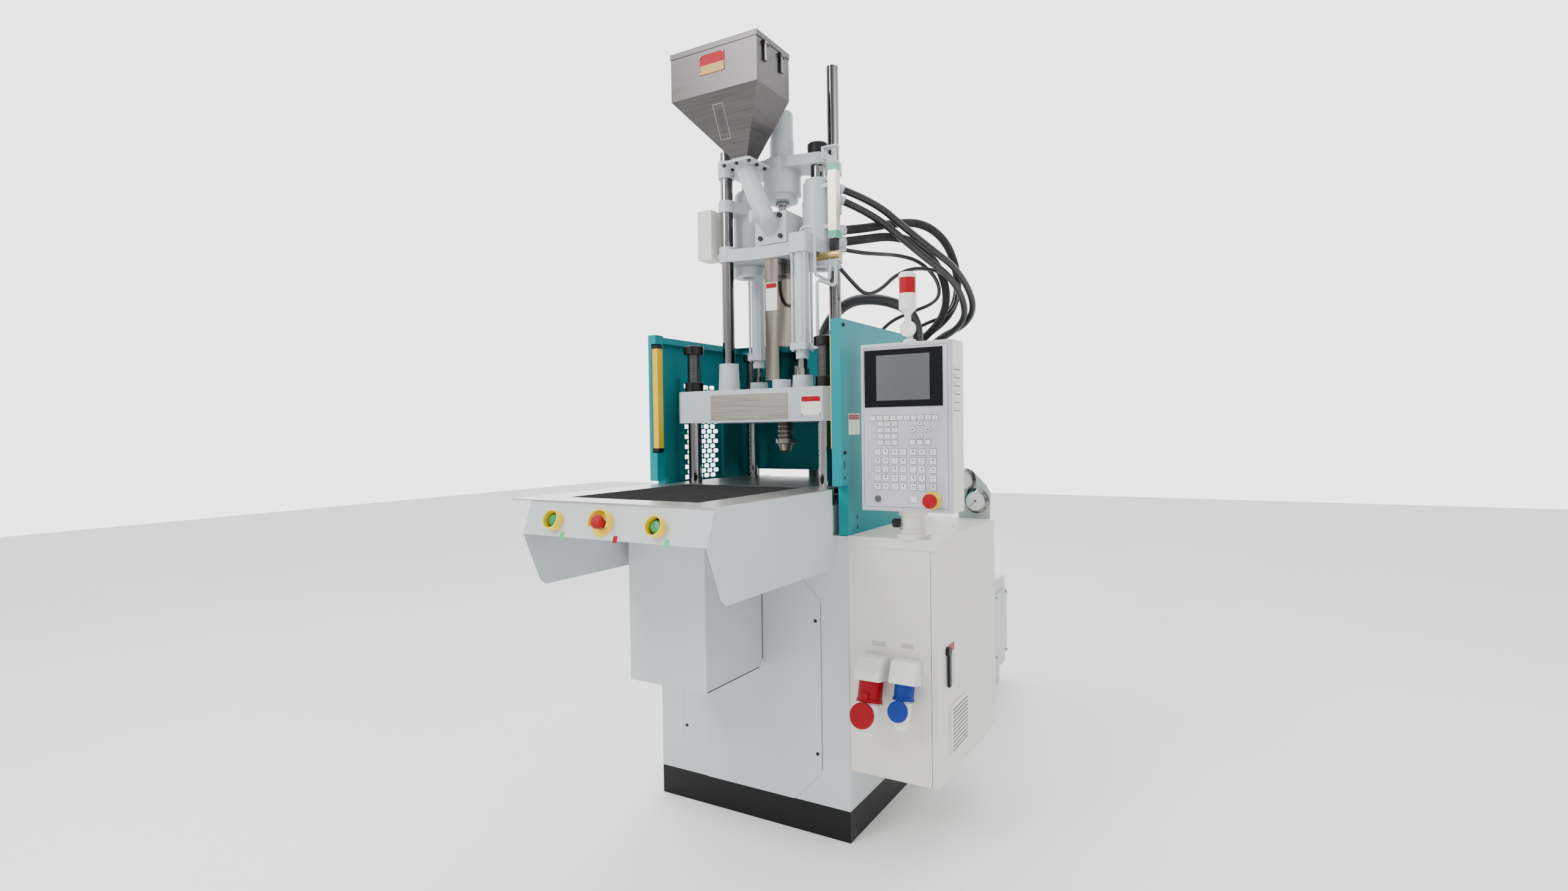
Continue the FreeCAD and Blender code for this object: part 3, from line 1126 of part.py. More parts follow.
def guard_back_panel():
    wall = box("back_wall", ("guard_left", "guard_back-sheet_metal", "table_top+28"),
               ("guard_right-guard_left", "sheet_metal", "guard_top-table_top-28"))
    edges = [box("back_edge", ("guard_left+sheet_metal", "guard_back-30", level),
                 ("guard_right-guard_left-2*sheet_metal", "30-sheet_metal", "sheet_metal"))
             for level in ("table_top+28", "guard_top-sheet_metal")]
    feet = [box("back_foot", (x, "guard_back-sheet_metal", "cabinet_top"),
                (60, "sheet_metal", "table_top+28-cabinet_top"))
            for x in ("guard_left", "guard_right-60")]
    return join("guard_back_join", wall, *edges, *feet)


def light_curtains():
    """Yellow sender and receiver bars inside the front posts, with end caps."""
    bars = []
    for x in CURTAIN_PLACES:
        bar = box("curtain_bar", (x, "guard_front+4", "curtain_low+14"),
                  ("curtain_wide", "curtain_deep", "curtain_long-28"))
        caps = [box("curtain_cap", (x + "-0", "guard_front+3", level), ("curtain_wide", "curtain_deep+2", 14))
                for level in ("curtain_low", "curtain_low+curtain_long-14")]
        bars.append(join("curtain_join", bar, *caps))
    return group("curtains_all", *bars)


# ---------------------------------------------------------------- electric cabinet

CAB_LEFT = "base_wide/2"
CAB_RIGHT = "(base_wide/2+cabinet_wide)"


def cabinet():
    """Sheet cabinet on the pedestal's side, open towards its door."""
    shell = box("cabinet_shell", (CAB_LEFT, "cabinet_front", "cabinet_low"),
                ("cabinet_wide-door_thick-slide_gap", "cabinet_rear-cabinet_front", "cabinet_top-cabinet_lip-cabinet_low"))
    hollow = box("cabinet_hollow", (CAB_LEFT + "+cabinet_wall", "cabinet_front+cabinet_wall", "cabinet_low+cabinet_wall"),
                 ("cabinet_wide", "cabinet_rear-cabinet_front-2*cabinet_wall",
                  "cabinet_top-cabinet_lip-cabinet_low-cabinet_wall-1"))
    lid = box("cabinet_lid", (CAB_LEFT, "cabinet_front-2", "cabinet_top-cabinet_lip"),
              ("cabinet_wide+2", "cabinet_rear-cabinet_front+4", "cabinet_lip"))
    return join("cabinet_join", cut("cabinet_cut", shell, hollow), lid)


DOOR_LOW = "(cabinet_low+1)"
DOOR_TALL = "(cabinet_top-cabinet_lip-cabinet_low-2)"


def cabinet_door():
    """Tray-shaped door with a slatted vent."""
    slab = box("door_slab", (CAB_RIGHT + "-door_thick", "cabinet_front", DOOR_LOW),
               ("door_thick", "cabinet_rear-cabinet_front", DOOR_TALL))
    tray = box("door_tray", (CAB_RIGHT + "-door_thick-1", "cabinet_front+cabinet_wall", DOOR_LOW + "+cabinet_wall"),
               ("door_thick-cabinet_wall+1", "cabinet_rear-cabinet_front-2*cabinet_wall", DOOR_TALL + "-2*cabinet_wall"))
    frame = box("vent_frame", (CAB_RIGHT, "vent_front", "vent_low"), (8, "vent_long", "vent_tall"))
    slats = []
    pitch = "(vent_tall-12)/vent_slats"
    for slat in range(int(value("vent_slats"))):
        slats.append(box("vent_gap", (CAB_RIGHT + "+3", "vent_front+7", "vent_low+8+%d*%s" % (slat, pitch)),
                         (9, "vent_long-14", "(vent_tall-12)/vent_slats*0.5")))
    return join("door_join", cut("door_cut", slab, tray), cut("vent_cut", frame, *slats))


HANDLE_Y = "(cabinet_front+89)"


def door_handle():
    """Swing handle on the door: plate-like grip with its turning boss at the top."""
    grip = box("handle_grip", (CAB_RIGHT + "+4", HANDLE_Y + "-9", 560), (9, 18, 104))
    boss = rod("handle_boss", (CAB_RIGHT, HANDLE_Y, 676), 15, 13, RIGHT)
    bridge = box("handle_bridge", (CAB_RIGHT + "+4", HANDLE_Y + "-9", 655), (9, 18, 21))
    return join("handle_join", grip, boss, bridge)


# place, half width of the housing, radius and length of the collar, end of the plug
SOCKETS = (("red_x", 43, 40, 72, 174), ("blue_x", 43, 32, 52, 140))
OUTLET = "(socket_top-72)"


def outlet_direction():
    lean = math.radians(value("socket_lean"))
    return V(0, -math.sin(lean), -math.cos(lean))


def outlet_piece(solid, x, out):
    """Put a piece on a socket's slanting axis, which starts this far in front of the cabinet."""
    return tilted(solid, value(x), value("cabinet_front") - out, value(OUTLET), outlet_direction())


def socket_housings():
    """White wall housings: upright box with a wedge-shaped underside."""
    shells = []
    for x, half, radius, long, end in SOCKETS:
        outline = [("cabinet_front", "socket_top-76"), ("cabinet_front", "socket_top"),
                   ("cabinet_front-40", "socket_top"), ("cabinet_front-%d" % (2 * radius), "socket_top-38"),
                   ("cabinet_front-%d" % (2 * radius + 6), "socket_top-64"), ("cabinet_front-12", "socket_top-80")]
        body = plate("socket_body", "YZ", outline, 2 * half, at=("%s-%d" % (x, half), 0, 0))
        shells.append(eased("socket_round", body, UP, 5))
    return group("sockets_all", *shells)


def socket_collars():
    """Red and blue outlet collars under the housings."""
    rings = []
    for x, half, radius, long, end in SOCKETS:
        ring = turned("collar_ring", [(radius - 5, 2), (radius, 2), (radius, long - 12), (radius + 3, long - 10),
                                      (radius + 3, long), (radius - 5, long)])
        rings.append(outlet_piece(ring, x, radius + 3))
    return group("collars_all", *rings)


def socket_plugs():
    """Plugs in both sockets, each with a tapering body and a cable gland."""
    plugs = []
    for x, half, radius, long, end in SOCKETS:
        body = turned("plug_body", [(0, 8), (radius - 6, 8), (radius - 6, long + 3), (radius - 4, long + 5),
                                    (radius - 4, long + 22), (radius * 0.72, end - 7), (radius * 0.6, end),
                                    (0, end)])
        plugs.append(outlet_piece(body, x, radius + 3))
    return group("plugs_all", *plugs)


def socket_flap(x, half, radius, long, end):
    """Round spring flap, hinged on the collar's front rim and resting on the plug."""
    heading = outlet_direction()
    front = V(0, heading.z, -heading.y)
    disc = turned("flap_disc", [(0, 0), (radius + 1, 0), (radius + 1, 10), (radius - 3, 13), (0, 13)])
    start = V(value(x), value("cabinet_front") - radius - 3, value(OUTLET))
    middle = start + heading * (long + radius + 1.3) + front * (radius + 3.3)
    return tilted(disc, middle.x, middle.y, middle.z, front)


# ---------------------------------------------------------------- control box and lamp

DESK_X = "(desk_left+desk_wide/2)"
DESK_Y = "(desk_front+62)"


def panel_post():
    """Column on the cabinet's lid: flange, shaft, clamp ring with its knob."""
    column = turned("column_body", [(0, "cabinet_top"), ("desk_flange", "cabinet_top"), ("desk_flange", "cabinet_top+14"),
                                    ("desk_column+6", "cabinet_top+16"), ("desk_column+6", "cabinet_top+30"),
                                    ("desk_column", "cabinet_top+30"), ("desk_column", "desk_low-16"),
                                    ("desk_column+9", "desk_low-16"), ("desk_column+9", "desk_low"), (0, "desk_low")],
                    at=(DESK_X, DESK_Y, 0))
    knob = turned("column_knob", [(0, 0), (7, 0), (7, 6), (15, 8), (15, 28), (11, 32), (0, 32)])
    heading = V(-0.8, -0.6, 0)
    reach = value("desk_column") - 2
    tilted(knob, value(DESK_X) + heading.x * reach, value(DESK_Y) + heading.y * reach,
           value("cabinet_top+50"), heading)
    return join("column_join", column, knob)


def control_box():
    """Control box with side louvres and the lamp's folding foot on its top."""
    shell = box("desk_shell", ("desk_left", "desk_front+4", "desk_low"), ("desk_wide", "desk_deep-4", "desk_tall"))
    shell = eased("desk_round", shell, UP, 6)
    louvres = [box("desk_louvre", ("desk_left+desk_wide-1", "desk_front+18", "desk_low+desk_tall-92-26*%d" % step),
                   (4, 58, 9)) for step in range(6)]
    foot = turned("lamp_foot", [(0, 0), (23, 0), (21, 10), (9, 16), (9, 30), (0, 30)],
                  at=(DESK_X, "desk_front+47.5", "desk_low+desk_tall"))
    ear = rod("lamp_ear", (DESK_X, "desk_front+38+0.2", "lamp_pivot"), "lamp_radius-9", 13, BACK)
    pocket = rod("desk_pocket", ("desk_left+desk_wide-66", "desk_front+3", "desk_low+40"), "button_stem+slide_gap",
                 "button_stroke+6", BACK)
    return cut("desk_cut", join("desk_join", shell, foot, ear, *louvres), pocket)


def panel_key(left, low, wide, tall):
    """A raised key of the control box, placed from the box's lower left corner."""
    return box("panel_key", ("desk_left+%g" % left, "desk_front-4.5", "desk_low+%s" % low), (wide, 3, tall))


def front_panel():
    """Front frame of the control box with the sunk screen and the raised keys."""
    plate_body = box("panel_frame", ("desk_left+5", "desk_front-3", "desk_low+5"),
                     ("desk_wide-10", 7, "desk_tall-10"))
    screen_low = "(desk_low+desk_tall-207)"
    bezel = box("panel_bezel", ("desk_left+18", "desk_front-5", screen_low), ("desk_wide-48", 4, 186))
    glass = box("panel_glass", ("desk_left+61", "desk_front-6", screen_low + "+21"), ("desk_wide-133", 5, 147))
    keys = [panel_key(38 + 23.6 * column, "desk_tall-250.5", 18, 15) for column in range(10)]
    keys += [panel_key(left, 71 + 28 * row, 20, 20)
             for row in range(5) for left in (52, 80, 113, 141, 175, 204, 241)]
    keys += [panel_key(65 + 24.5 * column, 216 + 20.5 * row, 17, 15)
             for row in range(4) for column in range(3)]
    keys += [panel_key(175 + 25.5 * column, 237.5 + 20.5 * row, 17, 15)
             for column, row in ((1, 0), (1, 2), (0, 1), (2, 1), (0, -1), (2, -1), (1, -1))]
    keys.append(panel_key(176, 31, 20, 20))
    lock = rod("panel_lock", ("desk_left+62", "desk_front-7", "desk_low+40"), 11, 8, BACK)
    collar = rod("panel_collar", ("desk_left+desk_wide-66", "desk_front-9", "desk_low+40"), 28, 10, BACK)
    whole = join("panel_join", plate_body, bezel, glass, lock, collar, *keys)
    bore = rod("panel_bore", ("desk_left+desk_wide-66", "desk_front-20", "desk_low+40"), "button_stem+slide_gap", 40, BACK)
    return cut("panel_cut", whole, bore)


def panel_stop():
    """Mushroom stop button of the control box."""
    return turned("panel_stop_body", [(0, -12), ("button_stem", -12), ("button_stem", "button_stroke+7"),
                                      (16, "button_stroke+7"), ("stop_radius+3", "button_stroke+16"),
                                      ("stop_radius+3", "button_stroke+24"), (17, "button_stroke+30"),
                                      (0, "button_stroke+31")],
                  at=("desk_left+desk_wide-66", "desk_front-9", "desk_low+40"), direction=-BACK)


def alarm_lamp():
    """Lamp with a ribbed dome, slim neck and round folding joint."""
    body = turned("lamp_body", [(0, "lamp_pivot+20"), (11, "lamp_pivot+20"), (11, "lamp_low-18"),
                                ("lamp_radius-8", "lamp_low-6"), ("lamp_radius", "lamp_low"),
                                ("lamp_radius", "lamp_low+50"), ("lamp_radius-1", "lamp_low+51"),
                                ("lamp_radius-1", "lamp_top-18"), ("lamp_radius", "lamp_top-18"),
                                ("lamp_radius", "lamp_top-6"), ("lamp_radius-5", "lamp_top"), (0, "lamp_top")],
                  at=(DESK_X, "desk_front+31", 0))
    joint = rod("lamp_joint", (DESK_X, "desk_front+25", "lamp_pivot"), "lamp_radius-2", 13, BACK)
    return join("lamp_join", body, joint)


# ---------------------------------------------------------------- rear unit

def oil_tank():
    """Oil tank on two skids, with its bolted side plate and a filler."""
    tank = box("tank_body", ("tank_left", "base_deep/2", "tank_low"),
               ("tank_right-tank_left", "tank_rear-base_deep/2", "tank_top-tank_low"))
    skids = [box("tank_skid", (x, "base_deep/2+20", 0), (90, "tank_rear-base_deep/2-60", "tank_low"))
             for x in ("tank_left+20", "tank_right-110")]
    outline = [("tank_rear-620", "tank_low+60"), ("tank_rear-20", "tank_low+60"), ("tank_rear", "tank_low+90"),
               ("tank_rear", "tank_top-71"), ("tank_rear-620", "tank_top-71")]
    side = plate("tank_side", "YZ", outline, "tank_plate", at=("tank_right", 0, 0))
    filler = turned("tank_filler", [(0, 0), (34, 0), (34, 30), (26, 34), (26, 62), (0, 62)],
                    at=("tank_left+120", "tank_rear-160", "tank_top"))
    return join("tank_join", tank, side, filler, *skids)


def pump_motor():
    """Foot-mounted electric motor with its pump, lying across the tank."""
    level = value("tank_top") + 150
    middle = "tank_rear-420"
    motor = turned("motor_case", [(0, 0), (40, 0), (120, 20), (125, 40), (125, 250), (112, 262), (100, 300), (0, 300)])
    tilted(motor, value("tank_left") + 90, value(middle), level, RIGHT)
    bell = turned("pump_bell", [(0, 0), (62, 0), (74, 40), (74, 70), (46, 74), (46, 190), (30, 196), (0, 196)])
    tilted(bell, value("tank_left") + 388, value(middle), level, RIGHT)
    feet = [box("motor_foot", ("tank_left+%d" % x, middle + "-110", "tank_top"), (40, 220, 60)) for x in (150, 300)]
    terminal = box("motor_terminal", ("tank_left+190", middle + "-50", "tank_top+260"), (110, 100, 60))
    return join("pump_join", motor, bell, terminal, *feet)


def valve_block():
    """Valve block on its frame behind the guard, with hose unions on top and valves behind."""
    legs = [box("block_leg", (x, "block_y-20", "tank_top"), (40, 40, "block_top-190-tank_top")) for x in (-180, 220)]
    block = box("block_body", (-220, "block_y-60", "block_top-190"), (520, 120, 110))
    valves = [box("block_valve", (-190 + 120 * step, "block_y+60", "block_top-180"), (70, 150, 66))
              for step in range(4)]
    unions = [rod("block_union", (route[-1][0], route[-1][1], "block_top-80"), radius + 4, 80)
              for name, (radius, route) in HOSES.items() if name != "hose_arch"]
    return join("block_join", block, *legs, *valves, *unions)


def hydraulic_unit():
    return group("hydraulic_all", pump_motor(), valve_block())


def gauge_bracket():
    """Bent plate behind the cabinet with two pressure gauges."""
    outline = [(CAB_RIGHT + "-150", "cabinet_top-60"), (CAB_RIGHT + "-25", "cabinet_top-60"),
               (CAB_RIGHT + "-20", "cabinet_top+100"), (CAB_RIGHT + "-34", "cabinet_top+128"),
               (CAB_RIGHT + "-91", "cabinet_top+188"), (CAB_RIGHT + "-150", "cabinet_top+202")]
    wall = plate("gauge_wall", "XZ", outline, "sheet_metal", at=(0, "gauge_y+sheet_metal", 0))
    arm = box("gauge_arm", (CAB_RIGHT + "-150", "cabinet_rear", "cabinet_top-60"),
              (100, "gauge_y-cabinet_rear", "60-cabinet_lip-2"))
    front = turned("gauge_case", [(0, 0), ("gauge_radius", 0), ("gauge_radius", 5), ("gauge_radius-8", 9),
                                  ("gauge_radius-8", 22), ("gauge_radius-12", 24), (0, 24)],
                   at=(CAB_RIGHT + "-74", "gauge_y", "cabinet_top+69"), direction=-BACK)
    second = turned("gauge_case", [(0, 0), ("gauge_radius", 0), ("gauge_radius", 5), ("gauge_radius-8", 9),
                                   ("gauge_radius-8", 22), ("gauge_radius-12", 24), (0, 24)],
                    at=(CAB_RIGHT + "-126", "gauge_y", "cabinet_top+150"), direction=-BACK)
    return join("gauge_join", wall, arm, front, second)


# ---------------------------------------------------------------- hoses and cables

def cord(name, route, radius):
    """A hose or cable: its route's corners rounded as far as the runs allow."""
    corners = [V(*corner) for corner in route]
    radii = []
    for before, corner, after in zip(corners, corners[1:], corners[2:]):
        shorter = min((corner - before).Length, (after - corner).Length)
        turn = (corner - before).getAngle(after - corner)
        radii.append(0.45 * shorter / math.tan(turn / 2))
    path = rounded_path(corners, radii)
    tube = sweep(name, path, radius)
    ratio = tube.Shape.Volume / (math.pi * radius ** 2 * path.Length)
    print("%s: length %.0f, radii %s, volume ratio %.4f"
          % (name, path.Length, " ".join("%.0f" % size for size in radii), ratio))
    return tube


# ---------------------------------------------------------------- the machine

node("plinth", plinth())
node("pedestal", join("pedestal_whole", pedestal(), access_hatch()))
node("post_cover", post_cover())
node("lower_platen", lower_platen())
node("table_top", table_top())
node("table_skirt", table_skirt())
node("button_guards", button_guards())
node("start_button_left", start_button("button_left_x"))
node("start_button_right", start_button("button_right_x"))
node("table_stop_button", stop_button())
node("slide_plate", slide_plate())
node("bellows", bellows())
node("upper_platen", upper_platen())
node("tie_bars", tie_bars())
node("tie_nuts", tie_nuts())
node("platen_rods", platen_rods())
node("carriage", carriage())
node("barrel", barrel())
node("barrel_cover", barrel_cover())
node("touch_cylinders", touch_cylinders())
node("hopper", join("hopper_whole", hopper(), latch_ears("latch_front_y"), latch_ears("latch_rear_y")))
node("hopper_lid", hopper_lid())
node("latch_front", latch("latch_front_y"))
node("latch_rear", latch("latch_rear_y"))
node("feed_tube", feed_tube())
node("junction_box", junction_box())
node("transducer", transducer())
node("hydraulic_pipes", hydraulic_pipes())
node("crosshead", crosshead())
node("piston_rods", piston_rods())
node("hydraulic_motor", hydraulic_motor())
node("screw", screw())
node("guard_left", guard_left_panel())
node("guard_right", guard_right_panel())
node("guard_back", guard_back_panel())
node("light_curtains", light_curtains())
node("cabinet", cabinet())
node("cabinet_door", cabinet_door())
node("door_handle", door_handle())
node("socket_housings", socket_housings())
node("socket_collars", socket_collars())
node("socket_plugs", socket_plugs())
node("red_flap", socket_flap(*SOCKETS[0]))
node("blue_flap", socket_flap(*SOCKETS[1]))
node("panel_post", panel_post())
node("control_box", control_box())
node("front_panel", front_panel())
node("panel_stop_button", panel_stop())
node("alarm_lamp", alarm_lamp())
node("oil_tank", oil_tank())
node("hydraulic_unit", hydraulic_unit())
node("gauge_bracket", gauge_bracket())

for name, (radius, route) in HOSES.items():
    node(name, cord(name + "_tube", route, radius))

doc.recompute()
for thing in doc.Objects:
    if "Invalid" in thing.State or "Error" in thing.State:
        raise RuntimeError("%s did not build: %s" % (thing.Name, thing.State))
for solid in nodes:
    if solid.Shape.isNull() or not solid.Shape.isValid() or not solid.Shape.Solids:
        raise RuntimeError("%s has no valid shape" % solid.Label)
for solid in nodes:
    solid.Shape.exportStep("parts/%s.step" % solid.Label)
print("%d sub-parts" % len(nodes))
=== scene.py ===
import math

import bmesh
import bpy
from mathutils import Matrix, Vector


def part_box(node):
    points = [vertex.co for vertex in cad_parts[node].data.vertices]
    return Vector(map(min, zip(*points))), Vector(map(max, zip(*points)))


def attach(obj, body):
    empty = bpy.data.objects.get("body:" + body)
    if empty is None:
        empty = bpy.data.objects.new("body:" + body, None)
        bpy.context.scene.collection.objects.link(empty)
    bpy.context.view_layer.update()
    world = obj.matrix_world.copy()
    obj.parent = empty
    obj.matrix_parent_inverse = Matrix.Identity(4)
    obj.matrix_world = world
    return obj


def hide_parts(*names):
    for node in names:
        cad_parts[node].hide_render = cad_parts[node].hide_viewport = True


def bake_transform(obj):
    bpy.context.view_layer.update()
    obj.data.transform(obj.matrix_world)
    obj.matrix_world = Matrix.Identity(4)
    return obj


# Dresses the vertical injection moulding machine: camera, hoses, materials, fasteners and panel detail.
# The frame's origin is on the floor under the nozzle, with the front towards -Y. Lengths are metres, but the
# places and sizes given to mm(), add_tag, tags, seam and discs are millimetres.

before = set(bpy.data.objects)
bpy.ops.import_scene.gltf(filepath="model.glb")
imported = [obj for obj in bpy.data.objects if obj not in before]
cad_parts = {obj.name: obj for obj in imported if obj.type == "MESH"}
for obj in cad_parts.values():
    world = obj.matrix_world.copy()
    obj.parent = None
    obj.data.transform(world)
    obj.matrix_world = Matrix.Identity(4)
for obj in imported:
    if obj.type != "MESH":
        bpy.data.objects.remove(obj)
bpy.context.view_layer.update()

MM = 0.001
FORWARD = (0, -1, 0)
RIGHTWARD = (1, 0, 0)
UPWARD = (0, 0, 1)
DOWNWARD = (0, 0, -1)

# The camera: what the photograph's straight edges give.
PHOTO_WIDTH = 2563                        # pixels of the photograph, side to side
FOCAL_PIXELS = 1289.99                    # focal length in the same pixels
SENSOR_WIDTH = 36
FAR_CLIP = 60
CAMERA_AT = Vector((1.5676, -2.6876, 1.4134))
LOOK = Vector((-0.50569774, 0.86245644, -0.02094469))
LOOK_RIGHT = Vector((0.86271017, 0.5055209, -0.01340792))


def linked(name, data):
    """A new object in the scene for a mesh, curve, camera or light."""
    thing = bpy.data.objects.new(name, data)
    bpy.context.scene.collection.objects.link(thing)
    return thing


def place_camera():
    """Camera at the photograph's place, with its field of view."""
    lens = bpy.data.cameras.new("photo_camera")
    lens.sensor_fit = "HORIZONTAL"
    lens.sensor_width = SENSOR_WIDTH
    lens.lens = SENSOR_WIDTH * FOCAL_PIXELS / PHOTO_WIDTH
    lens.clip_end = FAR_CLIP
    camera = linked("photo_camera", lens)
    look = LOOK.normalized()
    right = (LOOK_RIGHT - look * LOOK_RIGHT.dot(look)).normalized()
    up = right.cross(look)
    turn = Matrix((right, up, -look)).transposed().to_4x4()
    camera.matrix_world = Matrix.Translation(CAMERA_AT) @ turn
    bpy.context.scene.camera = camera


place_camera()

# ---------------------------------------------------------------- materials


class Paint:
    """A node material with helpers for its procedural detail."""

    def __init__(self, name, metallic=0.0, roughness=0.5):
        self.material = bpy.data.materials.new(name)
        self.material.use_nodes = True
        self.tree = self.material.node_tree
        self.shader = self.tree.nodes["Principled BSDF"]
        self.shader.inputs["Metallic"].default_value = metallic
        self.shader.inputs["Roughness"].default_value = roughness
        self.spot = self.tree.nodes.new("ShaderNodeTexCoord")

    def noise(self, scale, detail=4.0, stretch=(1, 1, 1)):
        """Noise in the object's own coordinates, stretched along an axis where brushed."""
        mapping = self.tree.nodes.new("ShaderNodeMapping")
        mapping.inputs["Scale"].default_value = stretch
        texture = self.tree.nodes.new("ShaderNodeTexNoise")
        texture.inputs["Scale"].default_value = scale
        texture.inputs["Detail"].default_value = detail
        self.tree.links.new(self.spot.outputs["Object"], mapping.inputs["Vector"])
        self.tree.links.new(mapping.outputs["Vector"], texture.inputs["Vector"])
        return texture.outputs["Fac"]

    def ramp(self, factor, low, high, start=0.35, end=0.65):
        """Colour that goes from low to high with a factor."""
        ramp = self.tree.nodes.new("ShaderNodeValToRGB")
        ramp.color_ramp.elements[0].position = start
        ramp.color_ramp.elements[0].color = (*low, 1)
        ramp.color_ramp.elements[1].position = end
        ramp.color_ramp.elements[1].color = (*high, 1)
        self.tree.links.new(factor, ramp.inputs["Fac"])
        return ramp.outputs["Color"]

    def span(self, factor, low, high):
        """Number that goes from low to high with a factor."""
        span = self.tree.nodes.new("ShaderNodeMapRange")
        span.inputs["To Min"].default_value = low
        span.inputs["To Max"].default_value = high
        self.tree.links.new(factor, span.inputs["Value"])
        return span.outputs["Result"]

    def colour(self, socket):
        """Drive the base colour."""
        self.tree.links.new(socket, self.shader.inputs["Base Color"])

    def rough(self, socket):
        """Drive the roughness."""
        self.tree.links.new(socket, self.shader.inputs["Roughness"])

    def shine(self, level):
        """Strength of the clear reflection on paint and plastic."""
        self.shader.inputs["Specular IOR Level"].default_value = level

    def bump(self, factor, strength, distance):
        """Raise the surface by a factor, over a distance in metres."""
        bump = self.tree.nodes.new("ShaderNodeBump")
        bump.inputs["Strength"].default_value = strength
        bump.inputs["Distance"].default_value = distance
        self.tree.links.new(factor, bump.inputs["Height"])
        self.tree.links.new(bump.outputs["Normal"], self.shader.inputs["Normal"])


def linear(red, green, blue):
    """Screen colour of 0 to 255 as the linear values that a material takes."""
    values = []
    for part in (red, green, blue):
        part = part / 255
        values.append(part / 12.92 if part <= 0.04045 else ((part + 0.055) / 1.055) ** 2.4)
    return tuple(values)


def shaded(colour, factor):
    """A colour made darker or lighter."""
    return tuple(min(1.0, part * factor) for part in colour)


def painted(name, colour, roughness=0.32, orange_peel=0.06, spread=0.07, shine=0.35):
    """Sprayed paint: slight patches of tone, orange peel and uneven gloss."""
    paint = Paint(name, roughness=roughness)
    paint.shine(shine)
    broad = paint.noise(1.6, 3)
    paint.colour(paint.ramp(broad, shaded(colour, 1 - spread), shaded(colour, 1 + spread / 2)))
    paint.rough(paint.span(paint.noise(6, 5), roughness * 0.8, roughness * 1.25))
    paint.bump(paint.noise(350, 2), orange_peel, 0.0004)
    return paint.material


def cast_paint(name, colour):
    """Paint over a casting: a pebbly skin under it."""
    paint = Paint(name, roughness=0.4)
    paint.colour(paint.ramp(paint.noise(3, 4), shaded(colour, 0.9), shaded(colour, 1.04)))
    paint.rough(paint.span(paint.noise(20, 4), 0.3, 0.5))
    paint.bump(paint.noise(140, 5), 0.25, 0.0008)
    return paint.material


def brushed(name, colour, roughness, stretch, metallic=1.0, strength=0.12):
    """Sheet or bar with fine lines along one direction."""
    paint = Paint(name, metallic=metallic, roughness=roughness)
    lines = paint.noise(6, 6, stretch)
    paint.colour(paint.ramp(lines, shaded(colour, 0.82), shaded(colour, 1.08), 0.3, 0.7))
    paint.rough(paint.span(lines, roughness * 0.7, roughness * 1.4))
    paint.bump(lines, strength, 0.0003)
    return paint.material


def polished(name, colour, roughness, stretch, low, high):
    """Mirror-bright metal, with soft long streaks of dark and bright colour that are painted reflections."""
    paint = Paint(name, metallic=1.0, roughness=roughness)
    painted_reflections = paint.noise(3, 1, stretch)
    paint.colour(paint.ramp(painted_reflections, shaded(colour, low), shaded(colour, high), 0.35, 0.65))
    paint.rough(paint.span(painted_reflections, roughness * 0.8, roughness * 1.2))
    return paint.material


def plastic(name, colour, roughness=0.42, grain=0.12, shine=0.5):
    """Moulded plastic with a fine grain and faint handling marks."""
    paint = Paint(name, roughness=roughness)
    paint.shine(shine)
    paint.colour(paint.ramp(paint.noise(9, 4), shaded(colour, 0.9), shaded(colour, 1.05)))
    paint.rough(paint.span(paint.noise(30, 4), roughness * 0.85, roughness * 1.2))
    paint.bump(paint.noise(700, 2), grain, 0.0003)
    return paint.material


def rubber(name, colour, roughness):
    """Hose rubber: a woven-wrap ripple under a slight sheen."""
    paint = Paint(name, roughness=roughness)
    paint.colour(paint.ramp(paint.noise(12, 4), shaded(colour, 0.7), shaded(colour, 1.6)))
    paint.rough(paint.span(paint.noise(25, 3), roughness * 0.8, roughness * 1.4))
    paint.bump(paint.noise(420, 3), 0.2, 0.0006)
    return paint.material


GREY_PAINT = painted("machine_grey", linear(190, 198, 200))
CASTING = cast_paint("casting_grey", linear(184, 192, 196))
CREAM = painted("cabinet_cream", linear(216, 214, 204), 0.42, 0.12)
TEAL = painted("guard_teal", linear(18, 132, 139), 0.42, shine=0.1)
BLACK = painted("black_paint", linear(16, 16, 18), 0.4, shine=0.2)
YELLOW = painted("curtain_yellow", linear(228, 186, 40), 0.35)
STAINLESS = brushed("table_steel", (0.62, 0.61, 0.58), 0.3, (1, 60, 1))
HOPPER_STEEL = brushed("hopper_steel", (0.115, 0.108, 0.108), 0.33, (1, 1, 30), strength=0.03)
# The barrel cover's long dark and bright streaks are painted reflections of the surroundings.
COVER_STEEL = polished("cover_steel", (0.46, 0.40, 0.35), 0.06, (9, 9, 0.6), 0.4, 1.35)
NAME_STEEL = brushed("plate_steel", (0.42, 0.38, 0.33), 0.34, (1, 1, 60), strength=0.05)
BLACKED = brushed("blacked_steel", (0.10, 0.10, 0.105), 0.3, (1, 1, 40), strength=0.05)
# The rods' long dark and bright streaks are painted reflections.
CHROME = polished("hard_chrome", (0.30, 0.29, 0.29), 0.07, (12, 12, 0.2), 0.25, 1.7)
STEEL = brushed("machined_steel", (0.38, 0.37, 0.36), 0.3, (1, 1, 50))
ALUMINIUM = brushed("anodised", (0.72, 0.66, 0.58), 0.4, (1, 1, 60), strength=0.06)
BRASS = brushed("brass", (0.55, 0.40, 0.16), 0.3, (30, 30, 30))
DARK_PLASTIC = plastic("dark_plastic", linear(18, 19, 22), 0.5, shine=0.3)
WHITE_PLASTIC = plastic("white_plastic", linear(232, 232, 226))
LIGHT_PLASTIC = plastic("panel_plastic", linear(184, 184, 192), shine=0.25)
RED_PLASTIC = plastic("red_plastic", linear(156, 2, 22), 0.42, 0.03, 0.2)
